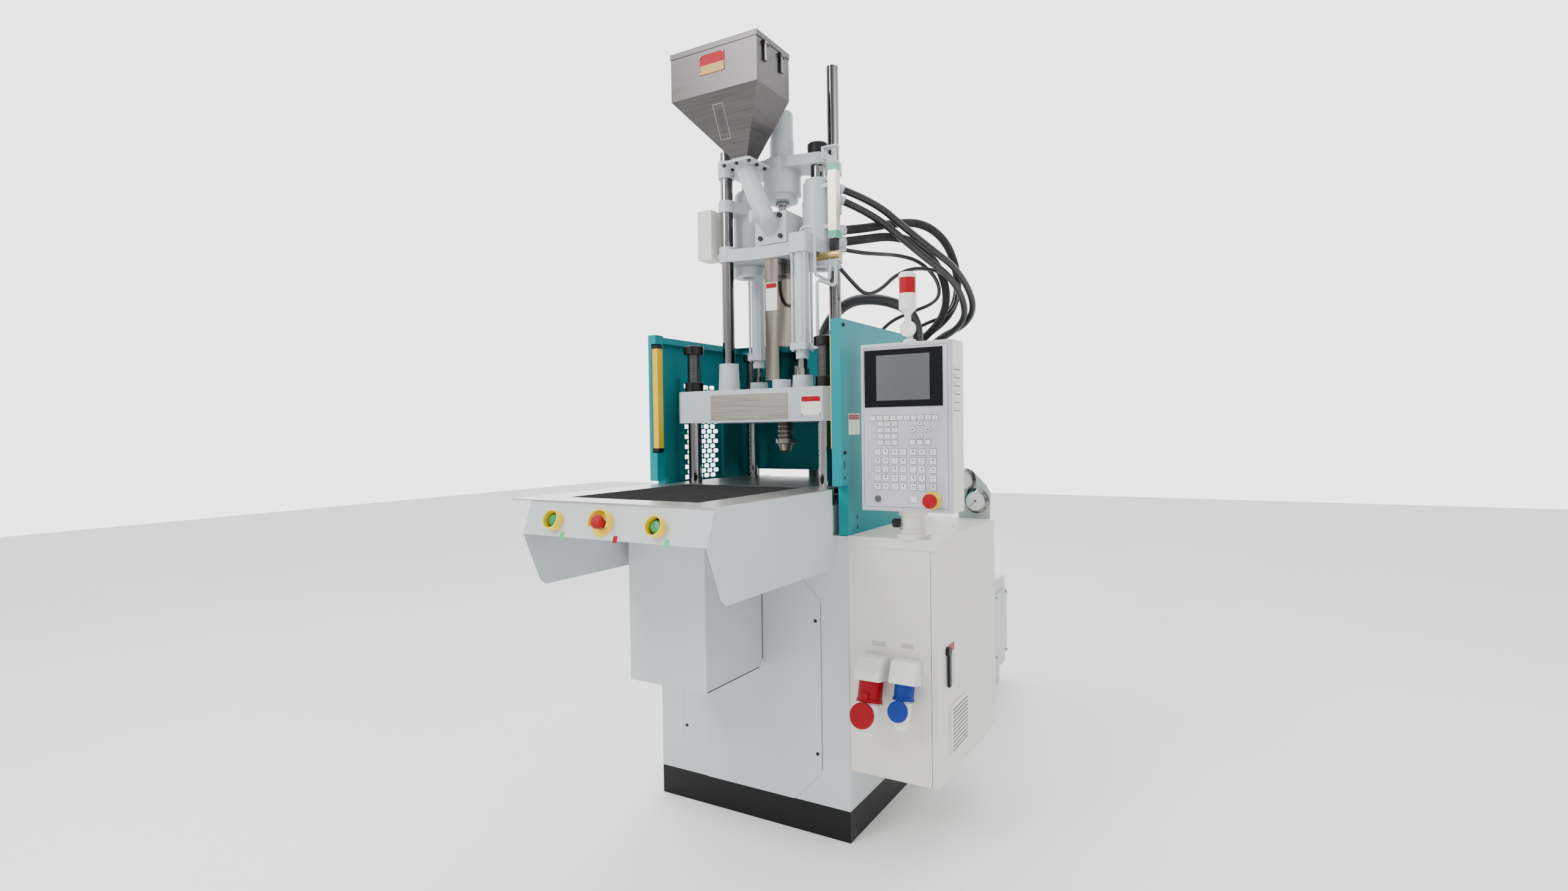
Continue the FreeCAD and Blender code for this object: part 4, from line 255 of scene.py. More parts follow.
GREEN_PLASTIC = plastic("green_plastic", linear(28, 140, 84), 0.25, 0.03)
BLUE_PLASTIC = plastic("blue_plastic", linear(8, 48, 134), 0.4, shine=0.25)
SOCKET_RED = plastic("socket_red", linear(146, 2, 22), 0.4, shine=0.2)
RING_YELLOW = plastic("ring_yellow", linear(246, 214, 24), 0.36, 0.04, 0.25)
KEY_PLASTIC = plastic("key_plastic", linear(226, 226, 230), 0.35, 0.04, 0.25)
BEZEL = plastic("bezel_black", linear(10, 11, 15), 0.5, 0.02, 0.12)
LEGEND = plastic("legend_ink", linear(52, 54, 62), 0.5, 0.02)
GOLD = plastic("gold_field", linear(176, 140, 44), 0.35, 0.02)
TAG_GREEN = plastic("green_tag", linear(60, 190, 110), 0.3, 0.03)
END_GREEN = plastic("green_end", linear(58, 160, 128), 0.3, 0.03)
SEAM = plastic("seam_shadow", linear(84, 90, 92), 0.6, 0.02)
RUBBER = rubber("hose_rubber", (0.012, 0.012, 0.014), 0.3)
SLEEVE = rubber("hose_sleeve", (0.008, 0.008, 0.009), 0.7)
BOLT = brushed("black_bolt", (0.02, 0.02, 0.022), 0.35, (20, 20, 20), metallic=0.6)
SCREW_STEEL = brushed("screw_steel", (0.5, 0.49, 0.47), 0.25, (20, 20, 20))


def screen_material():
    """Switched-off display: dark glass with a soft tint."""
    paint = Paint("screen_glass", roughness=0.12)
    paint.shine(0.2)
    paint.colour(paint.ramp(paint.noise(2, 2), linear(84, 85, 86), linear(92, 93, 94)))
    paint.rough(paint.span(paint.noise(15, 3), 0.3, 0.42))
    return paint.material


def bellows_material():
    """Coated cloth of the folds."""
    paint = Paint("bellows_cloth", roughness=0.6)
    paint.shine(0.2)
    paint.colour(paint.ramp(paint.noise(14, 4), linear(8, 8, 9), linear(22, 22, 24)))
    paint.bump(paint.noise(900, 1), 0.3, 0.0004)
    return paint.material


def heated_steel():
    """Barrel and nozzle: steel blued and browned by heat."""
    paint = Paint("heated_steel", metallic=0.9, roughness=0.4)
    paint.colour(paint.ramp(paint.noise(9, 5), (0.16, 0.13, 0.10), (0.42, 0.38, 0.33)))
    paint.rough(paint.span(paint.noise(40, 4), 0.25, 0.55))
    paint.bump(paint.noise(160, 4), 0.15, 0.0005)
    return paint.material


SCREEN = screen_material()
BELLOWS = bellows_material()
HEATED = heated_steel()

LOOKS = {
    BLACK: ("plinth",),
    GREY_PAINT: ("pedestal", "table_skirt", "post_cover", "oil_tank", "gauge_bracket"),
    CASTING: ("lower_platen", "upper_platen", "carriage", "touch_cylinders", "feed_tube", "hydraulic_pipes",
              "crosshead", "hydraulic_motor", "hydraulic_unit"),
    STAINLESS: ("table_top",),
    COVER_STEEL: ("barrel_cover",),
    STEEL: ("slide_plate", "screw"),
    HEATED: ("barrel",),
    TEAL: ("guard_left", "guard_right", "guard_back"),
    YELLOW: ("light_curtains",),
    RING_YELLOW: ("button_guards",),
    CREAM: ("cabinet", "cabinet_door", "junction_box", "control_box", "panel_post"),
    WHITE_PLASTIC: ("socket_housings", "socket_plugs", "alarm_lamp"),
    LIGHT_PLASTIC: ("front_panel",),
    HOPPER_STEEL: ("hopper", "hopper_lid"),
    CHROME: ("tie_bars", "platen_rods", "piston_rods", "latch_front", "latch_rear"),
    BOLT: ("tie_nuts",),
    DARK_PLASTIC: ("door_handle",),
    RED_PLASTIC: ("table_stop_button", "panel_stop_button"),
    GREEN_PLASTIC: ("start_button_left", "start_button_right"),
    SOCKET_RED: ("socket_collars", "red_flap"),
    BLUE_PLASTIC: ("blue_flap",),
    ALUMINIUM: ("transducer",),
}


def dress(name, material):
    """Give a whole CAD node one material."""
    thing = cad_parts[name]
    if not thing.material_slots:
        thing.data.materials.append(material)
    for slot in thing.material_slots:
        slot.material = material
    for face in thing.data.polygons:
        face.material_index = 0


def dress_where(name, material, test):
    """Give the faces whose middle, in millimetres, passes the test another material."""
    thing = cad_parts[name]
    thing.data.materials.append(material)
    index = len(thing.data.materials) - 1
    for face in thing.data.polygons:
        if test(thing.matrix_world @ face.center / MM):
            face.material_index = index


def near(place, x, z, reach):
    """Whether a place lies within a reach of an upright-plane point."""
    return (place.x - x) ** 2 + (place.z - z) ** 2 < reach ** 2


def within(place, left, right, low, high):
    """Whether a place lies in an upright rectangle."""
    return left < place.x < right and low < place.z < high


# Faces that carry plates, labels and screws, in millimetres.
PEDESTAL_FACE = -290
PLATEN_FACE = -270
COVER_FACE = -102
HOPPER_FACE = -316
FEED_FACE = -120
CABINET_FACE = -286
CABINET_SIDE = 717
DOOR_THICK = 20
VENT_SLOT_FLOOR = 725.1
GUARD_SIDE = 409
TANK_SIDE = 408
PANEL_FACE = -303
PANEL_SIDE = 778
KEY_FACE = -304.5
LOCK = (525, 1181)
STOP_ON_PANEL = (712, 1181)

# Where a node changes its finish, in millimetres: heights, unless the name says otherwise.
BARS_BLACK_FROM = 1560
ROD_CAPS_FROM = 2452
LAMP_LENS = (1846, 1896)
TRANSDUCER_PLUG_TO = 2119
BLUE_SOCKET_FROM_X = 563
CURTAIN_ENDS = (1346, 1726)
POST_AXIS = (620.5, -238)
POST_CLAMP = (1082, 1124)
POST_CLAMP_BEYOND_RADIUS = 42
GAUGES_FROM = 1060
GAUGES_TO_Y = 399.5
VALVE_AT = (-90, 2048)
VALVE_HALF = (16, 17)
VALVE_FROM_X = 171
KEYS_TO = 1480

bpy.context.view_layer.update()
for material, names in LOOKS.items():
    for name in names:
        dress(name, material)
dress_where("tie_bars", BLACKED, lambda at: at.z > BARS_BLACK_FROM)
dress_where("piston_rods", DARK_PLASTIC, lambda at: at.z > ROD_CAPS_FROM)
dress_where("alarm_lamp", RED_PLASTIC, lambda at: LAMP_LENS[0] < at.z < LAMP_LENS[1])
dress_where("transducer", DARK_PLASTIC, lambda at: at.z < TRANSDUCER_PLUG_TO)
dress_where("socket_collars", BLUE_PLASTIC, lambda at: at.x > BLUE_SOCKET_FROM_X)
dress_where("light_curtains", DARK_PLASTIC, lambda at: not CURTAIN_ENDS[0] <= at.z <= CURTAIN_ENDS[1])
dress_where("panel_post", DARK_PLASTIC,
            lambda at: (POST_CLAMP[0] < at.z < POST_CLAMP[1]
                        and math.dist((at.x, at.y), POST_AXIS) > POST_CLAMP_BEYOND_RADIUS))
dress_where("gauge_bracket", CHROME, lambda at: at.y < GAUGES_TO_Y and at.z > GAUGES_FROM)
dress_where("hydraulic_pipes", BRASS,
            lambda at: (abs(at.y - VALVE_AT[0]) < VALVE_HALF[0] and abs(at.z - VALVE_AT[1]) < VALVE_HALF[1]
                        and at.x > VALVE_FROM_X))
dress_where("cabinet_door", WHITE_PLASTIC, lambda at: at.x > CABINET_SIDE + 0.2)
for material, raised, test in (
        (KEY_PLASTIC, 0.3, lambda at: at.z < KEYS_TO),
        (BEZEL, 0.3, lambda at: within(at, 480, 749, 1479, 1667)),
        (SCREEN, 2.2, lambda at: within(at, 523, 707, 1500, 1649)),
        (CHROME, 0.3, lambda at: near(at, *LOCK, 14)),
        (RING_YELLOW, 0.3, lambda at: near(at, *STOP_ON_PANEL, 32))):
    dress_where("front_panel", material, lambda at: at.y < PANEL_FACE - raised and test(at))

# ---------------------------------------------------------------- mesh helpers


def as_piece(name, mesh, material):
    """Turn a bmesh into an object of one material."""
    data = bpy.data.meshes.new(name)
    mesh.to_mesh(data)
    mesh.free()
    data.materials.append(material)
    return linked(name, data)


def as_rider(name, mesh, material, body):
    """Turn a bmesh into a piece that rides on a body."""
    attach(as_piece(name, mesh, material), body)


def mm(*values):
    """A place or size in millimetres, in metres."""
    return Vector(values) * MM


def facing(direction):
    """Rotation that turns +Z to a direction."""
    return Vector(UPWARD).rotation_difference(Vector(direction)).to_matrix().to_4x4()


def add_block(mesh, low, high, ease=0.0):
    """A block between two corners with its edges eased."""
    low, high = Vector(low), Vector(high)
    made = bmesh.ops.create_cube(mesh, size=1)
    size = high - low
    bmesh.ops.scale(mesh, vec=size, verts=made["verts"])
    bmesh.ops.translate(mesh, vec=(low + high) / 2, verts=made["verts"])
    if ease:
        edges = list({edge for vert in made["verts"] for edge in vert.link_edges})
        bmesh.ops.bevel(mesh, geom=edges, offset=ease, segments=2, affect="EDGES")


def add_lathe(mesh, outline, at, direction, sides, capped=True):
    """An outline of radius and height turned about a direction."""
    turn = Matrix.Translation(Vector(at)) @ facing(direction)
    rings = []
    for radius, height in outline:
        ring = []
        for side in range(sides):
            angle = 2 * math.pi * side / sides
            corner = Vector((radius * math.cos(angle), radius * math.sin(angle), height))
            ring.append(mesh.verts.new(turn @ corner))
        rings.append(ring)
    for low, high in zip(rings, rings[1:]):
        for side in range(sides):
            after = (side + 1) % sides
            mesh.faces.new((low[side], low[after], high[after], high[side]))
    if capped:
        mesh.faces.new(list(reversed(rings[0])))
        mesh.faces.new(rings[-1])


def add_cap_screw(mesh, at, direction, radius):
    """Cap screw: a round head with an eased rim, and the socket's hexagon on top."""
    tall = radius * 1.15
    add_lathe(mesh, [(radius, 0), (radius, tall * 0.85), (radius * 0.9, tall), (radius * 0.55, tall)],
              at, direction, 16)
    add_lathe(mesh, [(radius * 0.5, tall * 0.6), (radius * 0.5, tall * 1.01)], at, direction, 6)


def screws(name, places, direction, radius, body, material):
    """Like cap screws as one piece, their places and radius in metres."""
    mesh = bmesh.new()
    for at in places:
        add_cap_screw(mesh, at, direction, radius)
    as_rider(name, mesh, material, body)


def block_piece(name, low, high, material, body):
    """One sharp-edged block between two corners."""
    mesh = bmesh.new()
    add_block(mesh, low, high)
    as_rider(name, mesh, material, body)


# ---------------------------------------------------------------- hoses

# Each hose: its radius and its route's control points, in millimetres.
HOSES = {
    "hose_long_a": (14, [
        (242, 52, 2322), (340, 118, 2277), (421, 240, 2187), (482, 380, 2122), (523, 500, 2078),
        (542, 640, 2008), (540, 730, 1926), (480, 770, 1862), (385, 775, 1830), (290, 770, 1760),
        (255, 765, 1620), (250, 760, 1450), (250, 760, 1290)]),
    "hose_long_b": (14, [
        (242, 52, 2278), (330, 122, 2232), (406, 246, 2150), (458, 390, 2086), (500, 510, 2042),
        (515, 640, 1972), (503, 721, 1892), (438, 743, 1834), (345, 738, 1792), (228, 732, 1720),
        (180, 755, 1590), (160, 760, 1440), (160, 760, 1290)]),
    "hose_sleeve_a": (17, [
        (242, 52, 2170), (296, 124, 2184), (354, 262, 2226), (424, 410, 2250), (468, 560, 2205),
        (476, 680, 2110), (455, 770, 2000), (385, 830, 1910), (270, 850, 1840), (140, 840, 1740),
        (78, 795, 1600), (70, 760, 1440), (70, 760, 1290)]),
    "hose_sleeve_b": (17, [
        (242, 52, 2126), (290, 112, 2140), (350, 240, 2172), (405, 380, 2168), (446, 520, 2100),
        (450, 630, 2010), (410, 720, 1920), (320, 785, 1845), (190, 800, 1760), (55, 790, 1670),
        (-15, 770, 1550), (-20, 760, 1420), (-20, 760, 1290)]),
    "hose_thin": (8, [
        (226, 46, 2024), (262, 70, 1974), (292, 130, 1926), (322, 210, 1958), (352, 290, 2026),
        (395, 400, 2070), (463, 524, 2066), (492, 634, 2030), (464, 720, 1968), (402, 772, 1915),
        (300, 778, 1890), (180, 744, 1826), (60, 730, 1740), (-40, 740, 1640), (-95, 755, 1520),
        (-110, 760, 1400), (-110, 760, 1290)]),
    "hose_loop": (8, [
        (242, 62, 2096), (290, 100, 2086), (325, 190, 2094), (345, 320, 2112), (395, 430, 2104),
        (430, 540, 2052), (418, 640, 1996), (360, 700, 1962), (260, 720, 1940), (150, 700, 1900),
        (80, 690, 1820), (42, 690, 1710), (28, 710, 1570), (25, 760, 1430), (25, 760, 1290)]),
    "hose_arch": (24, [
        (-60, 345, 580), (-60, 345, 900), (-60, 342, 1230), (-55, 342, 1520), (-40, 350, 1790),
        (59, 400, 1960), (198, 480, 1975), (320, 590, 1920), (310, 660, 1740), (240, 650, 1500),
        (195, 650, 1200), (190, 650, 880), (190, 650, 580)]),
}
FIXED_HOSES = ("hose_arch",)
FRONT_POINTS = 4                          # points of a route ahead of the middle point where it is split in two


def nurbs(name, points, radius):
    """A smooth line through a route, as a round tube."""
    line = bpy.data.curves.new(name, "CURVE")
    line.dimensions = "3D"
    line.resolution_u = 10
    line.bevel_depth = radius
    line.bevel_resolution = 4
    line.use_fill_caps = True
    spline = line.splines.new("NURBS")
    spline.points.add(len(points) - 1)
    for control, point in zip(spline.points, points):
        control.co = (*point, 1)
    spline.order_u = 3
    spline.use_endpoint_u = True
    return linked(name, line)


def meshed(name, points, radius):
    """The mesh of a route's smooth line, or of a tube along it."""
    curve = nurbs(name + "_curve", points, radius)
    mesh = bpy.data.meshes.new_from_object(curve)
    line = curve.data
    bpy.data.objects.remove(curve)
    bpy.data.curves.remove(line)
    return mesh


def centre_line(points):
    """Points along a route's smooth line."""
    mesh = meshed("route_line", points, 0)
    path = [vertex.co.copy() for vertex in mesh.vertices]
    bpy.data.meshes.remove(mesh)
    return path


def tube_stretch(name, points, radius, material):
    """One stretch of hose as a mesh tube, with its centre line."""
    mesh = meshed(name, points, radius)
    mesh.name = name
    mesh.materials.clear()
    mesh.materials.append(material)
    for face in mesh.polygons:
        face.material_index = 0
        face.use_smooth = True
    return linked(name, mesh), centre_line(points)


def declare_hose(node):
    """Hide the CAD node that a stretch of hose stands for."""
    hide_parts(node)


def make_hoses():
    """Hoses from the injection unit over the platen's part to the valve block behind."""
    for name, (radius, route) in HOSES.items():
        radius *= MM
        points = [mm(*point) for point in route]
        material = SLEEVE if "sleeve" in name else RUBBER
        if name in FIXED_HOSES:
            piece, path = tube_stretch(name + "_tube", points, radius, material)
            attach(piece, "base")
            declare_hose(name)
            continue
        middle = (points[FRONT_POINTS - 1] + points[FRONT_POINTS]) / 2
        front, front_path = tube_stretch(name + "_front", points[:FRONT_POINTS] + [middle], radius, material)
        rear, rear_path = tube_stretch(name + "_rear", [middle] + points[FRONT_POINTS:], radius, material)
        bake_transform(front)
        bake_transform(rear)
        declare_hose(name)
        declare_hose(name)


make_hoses()

# ---------------------------------------------------------------- bellows

BELLOWS_FRONT = -911
BELLOWS_REAR = -310
FOLDS = 24
FOLD_CREST = 1210.6
FOLD_SHOULDER = 1208
FOLD_VALLEY = 1192
CREST_HALF = 2
CLOTH_THICK = 1.6
CLOTH_HALF = 238
HEM_HALF = 245.5


def fold_sections():
    """The bellows' outline from front to rear: depth and height of every bend."""
    pitch = (BELLOWS_REAR - BELLOWS_FRONT) / (2 * FOLDS)
    sections = []
    for step in range(2 * FOLDS + 1):
        y = BELLOWS_FRONT + step * pitch
        if step % 2:
            sections += [(y - CREST_HALF, FOLD_SHOULDER), (y, FOLD_CREST), (y + CREST_HALF, FOLD_SHOULDER)]
        else:
            sections.append((y, FOLD_VALLEY))
    return sections


def bellows_piece():
    """Folded cover in front of the sliding plate: sharp crests, and hems along both sides."""
    mesh = bmesh.new()
    rows = []
    for y, z in fold_sections():
        places = [(-HEM_HALF, z - 1), (-CLOTH_HALF, z), (CLOTH_HALF, z), (HEM_HALF, z - 1)]
        upper = [mesh.verts.new(mm(x, y, height)) for x, height in places]
        lower = [mesh.verts.new(mm(x, y, height - CLOTH_THICK)) for x, height in places]
        rows.append(upper + lower[::-1])
    for before, after in zip(rows, rows[1:]):
        for corner in range(len(before)):
            beyond = (corner + 1) % len(before)
            mesh.faces.new((before[corner], before[beyond], after[beyond], after[corner]))
    mesh.faces.new(rows[0])
    mesh.faces.new(rows[-1][::-1])
    bmesh.ops.recalc_face_normals(mesh, faces=mesh.faces)
    piece = as_piece("bellows_folds", mesh, BELLOWS)
    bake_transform(piece)
    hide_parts("bellows")


bellows_piece()

# ---------------------------------------------------------------- plates, labels and seams

# The slanting button strip, by the place of its upper edge and how far it runs forward as it falls.
STRIP_EDGE = (-1015, 1208)
STRIP_RUN = 36
STRIP_FALL = 98
STRIP_LEAN = math.atan2(STRIP_RUN, STRIP_FALL)
STRIP_OUT = (0, -math.cos(STRIP_LEAN), math.sin(STRIP_LEAN))
NAME_PLATE = 1.2                          # thickness of the platen's plate
LABEL = 0.8                               # thickness of a label, which its coloured band lies on
FILM = 0.3                                # thickness of bands, lines and fields


def add_tag(mesh, at, normal, wide, tall, thick, roll=0.0):
    """A thin plate on a surface, level along its width, its foot at a place in millimetres."""
    out = Vector(normal).normalized()
    across = Vector(UPWARD).cross(out).normalized()
    turn = Matrix((across, out.cross(across), out)).transposed().to_4x4()
    made = bmesh.ops.create_cube(mesh, size=1)
    bmesh.ops.scale(mesh, vec=mm(wide, tall, thick), verts=made["verts"])
    bmesh.ops.translate(mesh, vec=mm(0, 0, thick / 2), verts=made["verts"])
    place = Matrix.Translation(mm(*at)) @ turn @ Matrix.Rotation(roll, 4, "Z")
    bmesh.ops.transform(mesh, matrix=place, verts=made["verts"])


def tags(name, material, body, normal, places, thick=LABEL):
    """Like plates on one side of the machine: each has its middle, width and height."""
    mesh = bmesh.new()
    for at, wide, tall in places:
        add_tag(mesh, at, normal, wide, tall, thick)
    as_rider(name, mesh, material, body)


def banded_label(name, material, band_material, body, normal, plate, band):
    """A plate with a coloured band on it: each has its middle, width and height."""
    tags(name, material, body, normal, [plate])
    middle, wide, tall = band
    raised = tuple(Vector(middle) + Vector(normal) * LABEL)
    tags(name + "_band", band_material, body, normal, [(raised, wide, tall)], FILM)


def seam(name, body, normal, corners, wide):
    """A fine line along a polygon of corners on a flat side."""
    mesh = bmesh.new()
    out = Vector(normal).normalized()
    across = Vector(UPWARD).cross(out).normalized()
    up = out.cross(across)
    for before, after in zip(corners, corners[1:]):
        run = Vector(after) - Vector(before)
        middle = (Vector(before) + Vector(after)) / 2
        angle = math.atan2(run.dot(up), run.dot(across))
        add_tag(mesh, middle, normal, run.length + wide * 0.6, wide, FILM, angle)
    as_rider(name, mesh, SEAM, body)


def strip_place(x, z):
    """A place on the slanting button strip."""
    y, top = STRIP_EDGE
    return (x, y - STRIP_RUN * (top - z) / STRIP_FALL, z)


def discs(name, material, body, direction, places, radius, tall):
    """Short round pieces, all alike, standing on a surface."""
    mesh = bmesh.new()
    outline = [(radius * MM, 0), (radius * MM, tall * MM * 0.7), ((radius - tall * 0.3) * MM, tall * MM)]
    for at in places:
        add_lathe(mesh, outline, mm(*at), direction, 28)
    as_rider(name, mesh, material, body)


tags("name_plate", NAME_STEEL, "platen", FORWARD, [((1, PLATEN_FACE, 1495), 334, 94)], NAME_PLATE)
banded_label("platen_label", WHITE_PLASTIC, RED_PLASTIC, "platen", FORWARD,
             ((261, PLATEN_FACE, 1494), 80, 68), ((261, PLATEN_FACE, 1517), 74, 18))
banded_label("cover_label", WHITE_PLASTIC, RED_PLASTIC, "injection_unit", FORWARD,
             ((5, COVER_FACE, 1919), 50, 106), ((5, COVER_FACE, 1960), 46, 18))
banded_label("guard_label", WHITE_PLASTIC, RED_PLASTIC, "base", RIGHTWARD,
             ((GUARD_SIDE, -236, 1427), 88, 72), ((GUARD_SIDE, -236, 1451), 82, 18))
tags("socket_labels", LIGHT_PLASTIC, "base", FORWARD,
     [((514, CABINET_FACE, 698), 46, 15), ((615, CABINET_FACE, 701), 44, 15)])
tags("socket_label_fields", NAME_STEEL, "base", FORWARD,
     [((514, CABINET_FACE - LABEL, 698), 38, 7), ((615, CABINET_FACE - LABEL, 701), 36, 7)], 0.2)
banded_label("door_label", LIGHT_PLASTIC, RED_PLASTIC, "door", RIGHTWARD,
             ((CABINET_SIDE, -152, 622), 60, 146), ((CABINET_SIDE, -152, 679), 54, 26))
tags("hopper_plate", RED_PLASTIC, "injection_unit", FORWARD, [((-104, HOPPER_FACE, 2744), 110, 72)])
tags("hopper_plate_field", GOLD, "injection_unit", FORWARD,
     [((-104, HOPPER_FACE - LABEL, 2726), 104, 32)], FILM)
# Dark strips under the control box's louvres: painted shade below each louvre.
tags("louvre_shade", SEAM, "panel", RIGHTWARD,
     [((PANEL_SIDE, -253, 1593.6 - 26 * step), 56, 2.4) for step in range(6)], 0.4)
tags("vent_slits", SEAM, "door", RIGHTWARD,
     [((VENT_SLOT_FLOOR, -84, 336 + 13.64 * step), 160, 3.4) for step in range(11)], 0.4)
tags("door_gap", SEAM, "base", FORWARD,
     [((CABINET_SIDE - DOOR_THICK - 1, CABINET_FACE, 633), 1.8, 762)], 0.25)
tags("green_tags", TAG_GREEN, "base", STRIP_OUT, [(strip_place(x, 1115), 15, 20) for x in (-141, 243)])
tags("red_tag", RED_PLASTIC, "base", STRIP_OUT, [(strip_place(62, 1114), 15, 20)])
seam("hatch_seam", "base", FORWARD,
     [(x, PEDESTAL_FACE, z) for x, z in ((-220, 867), (220, 867), (300, 813), (300, 235), (220, 144),
                                         (-220, 144), (-300, 235), (-300, 813), (-220, 867))], 1.6)
seam("panel_seam", "panel", FORWARD,
     [(x, PANEL_FACE, z) for x, z in ((477, 1155), (764, 1155), (764, 1673), (477, 1673), (477, 1155))], 1.2)
screws("plate_rivets", [mm(x, PLATEN_FACE - NAME_PLATE, z) for x in (-158, 160) for z in (1455, 1535)],
       FORWARD, 0.003, "platen", SCREW_STEEL)
screws("label_rivets", [mm(x, PLATEN_FACE - LABEL, z) for x in (226, 296) for z in (1464, 1524)],
       FORWARD, 0.003, "platen", SCREW_STEEL)
screws("hopper_rivets", [mm(x, HOPPER_FACE - LABEL, z) for x in (-154, -54) for z in (2713, 2775)],
       FORWARD, 0.003, "injection_unit", SCREW_STEEL)
screws("hatch_screws",
       [mm(x, PEDESTAL_FACE, z) for x, z in ((-280, 748), (280, 748), (-283, 285), (283, 285))],
       FORWARD, 0.006, "base", BOLT)
screws("guard_screws", [mm(GUARD_SIDE, -312, z) for z in (1758, 1331)], RIGHTWARD, 0.006, "base", BOLT)
tags("guard_slot", DARK_PLASTIC, "base", RIGHTWARD, [((GUARD_SIDE, -312, 1290), 7, 26)], 0.4)
screws("flange_screws",
       [mm(x, y, 2400) for x in (-112, -57, -2) for y in (-237, -182, -127) if (x, y) != (-57, -182)],
       DOWNWARD, 0.007, "injection_unit", BOLT)
screws("feed_screws", [mm(x, FEED_FACE, z) for x, z in ((58, 2216), (60, 2138), (-28, 2138))],
       FORWARD, 0.009, "injection_unit", BOLT)
# Dark sheets of painted shade: one in the gap behind the post cover, one as the shadow under its lower edge.
block_piece("cover_gap_shade", mm(-253, -296, 589), mm(64, -290.2, 1044), BEZEL, "base")
block_piece("cover_edge_shadow", mm(60, -630, 562), mm(64, -318, 564.5), BEZEL, "base")
screws("tank_screws", [mm(TANK_SIDE, y, z) for y in (1128, 1320, 1515, 1704) for z in (172, 494)],
       RIGHTWARD, 0.008, "base", SCREW_STEEL)
discs("guard_hole", DARK_PLASTIC, "base", RIGHTWARD,
      [(GUARD_SIDE, y, z) for y, z in ((-312, 1247), (-215, 1104), (-216, 1070))], 5.5, 0.4)

# ---------------------------------------------------------------- buttons, gauges, hopper and transducer


def button_sleeves():
    """Dark sleeves between the yellow rings and the start buttons."""
    bore, rim, chamfer = 0.0175, 0.0248, 0.0215
    foot, shoulder, top = 0.0003, 0.0025, 0.0045
    outline = [(bore, foot), (rim, foot), (rim, shoulder), (chamfer, top), (bore, top), (bore, foot)]
    mesh = bmesh.new()
    for x in (-179, 204):
        add_lathe(mesh, outline, mm(*strip_place(x, 1153)), STRIP_OUT, 32, capped=False)
    bmesh.ops.recalc_face_normals(mesh, faces=mesh.faces)
    as_rider("button_sleeves", mesh, DARK_PLASTIC, "base")


DIAL_RADIUS = 36.5
DIAL_FOOT = 375.9                         # depth of the dial's rear
DIAL_FACE = 375.3                         # depth of its marks
DIAL_TICKS = 28
TICK_TURN = 10                            # degrees between ticks
TICK_REACH = 33                           # distance from the middle to a tick's outer end


def gauge_dials():
    """White dials with a scale and a needle each."""
    face, marks = bmesh.new(), bmesh.new()
    for x, z in ((643, 1119), (591, 1200)):
        add_lathe(face, [(DIAL_RADIUS * MM, 0), (DIAL_RADIUS * MM, 0.0006)], mm(x, DIAL_FOOT, z), FORWARD, 40)
        for tick in range(DIAL_TICKS):
            angle = math.radians(-135 + tick * TICK_TURN)
            long = 6 if tick % 3 == 0 else 3.5
            reach = TICK_REACH - long / 2
            place = (x + reach * math.sin(angle), DIAL_FACE, z + reach * math.cos(angle))
            add_tag(marks, place, FORWARD, 0.8, long, FILM, -angle)
        add_tag(marks, (x - 8, DIAL_FACE, z - 8), FORWARD, 2.2, 34, 0.5, math.radians(-45))
        add_lathe(marks, [(0.004, 0), (0.003, 0.0015)], mm(x, DIAL_FACE, z), FORWARD, 16)
    as_rider("dial_faces", face, WHITE_PLASTIC, "base")
    as_rider("dial_marks", marks, LEGEND, "base")


WINDOW_MIDDLE = (-95, -272, 2545.5)
WINDOW_SLOPE = 0.4317                     # how far the hopper's front slope looks down, in radians
WINDOW_PLATE = 1.2
SLOT_RADIUS = 8.5
SLOT_HALF = 30


def sight_window():
    """Window on the hopper's slope: a rim and a plate round a dark slot with rounded ends."""
    slope = Vector((0, -math.cos(WINDOW_SLOPE), -math.sin(WINDOW_SLOPE)))
    down = Vector((0, math.sin(WINDOW_SLOPE), -math.cos(WINDOW_SLOPE)))
    for name, wide, tall, thick, material in (("window_rim", 46, 124, LABEL, NAME_STEEL),
                                              ("window_plate", 42, 120, WINDOW_PLATE, HOPPER_STEEL)):
        mesh = bmesh.new()
        add_tag(mesh, WINDOW_MIDDLE, slope, wide, tall, thick)
        as_rider(name, mesh, material, "injection_unit")
    mesh = bmesh.new()
    middle = Vector(WINDOW_MIDDLE) + slope * WINDOW_PLATE
    for end in (middle - down * SLOT_HALF, middle + down * SLOT_HALF):
        add_lathe(mesh, [(SLOT_RADIUS * MM, 0), (SLOT_RADIUS * MM, 0.0004)], mm(*end), slope, 20)
    add_tag(mesh, middle, slope, 2 * SLOT_RADIUS, 2 * SLOT_HALF, 0.35)
    as_rider("window_slot", mesh, BLACKED, "injection_unit")


def transducer_ends():
    """Green end caps that sit over the transducer's bar."""
    low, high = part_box("transducer")
    over = 0.0003
    mesh = bmesh.new()
    for foot, top in ((2120, 2150), (2372, 2400.3)):
        add_block(mesh, (low[0] - over, -0.0503, foot * MM), (high[0] + over, -0.0157, top * MM), 0.0005)
    as_rider("transducer_caps", mesh, END_GREEN, "injection_unit")


OUTLET_LEAN = math.radians(17)            # how far the sockets' outlets lean forward
OUTLET_ROOT = (-289, 588)                 # where the outlets' axes start, less their radius
LUG_ALONG = 53


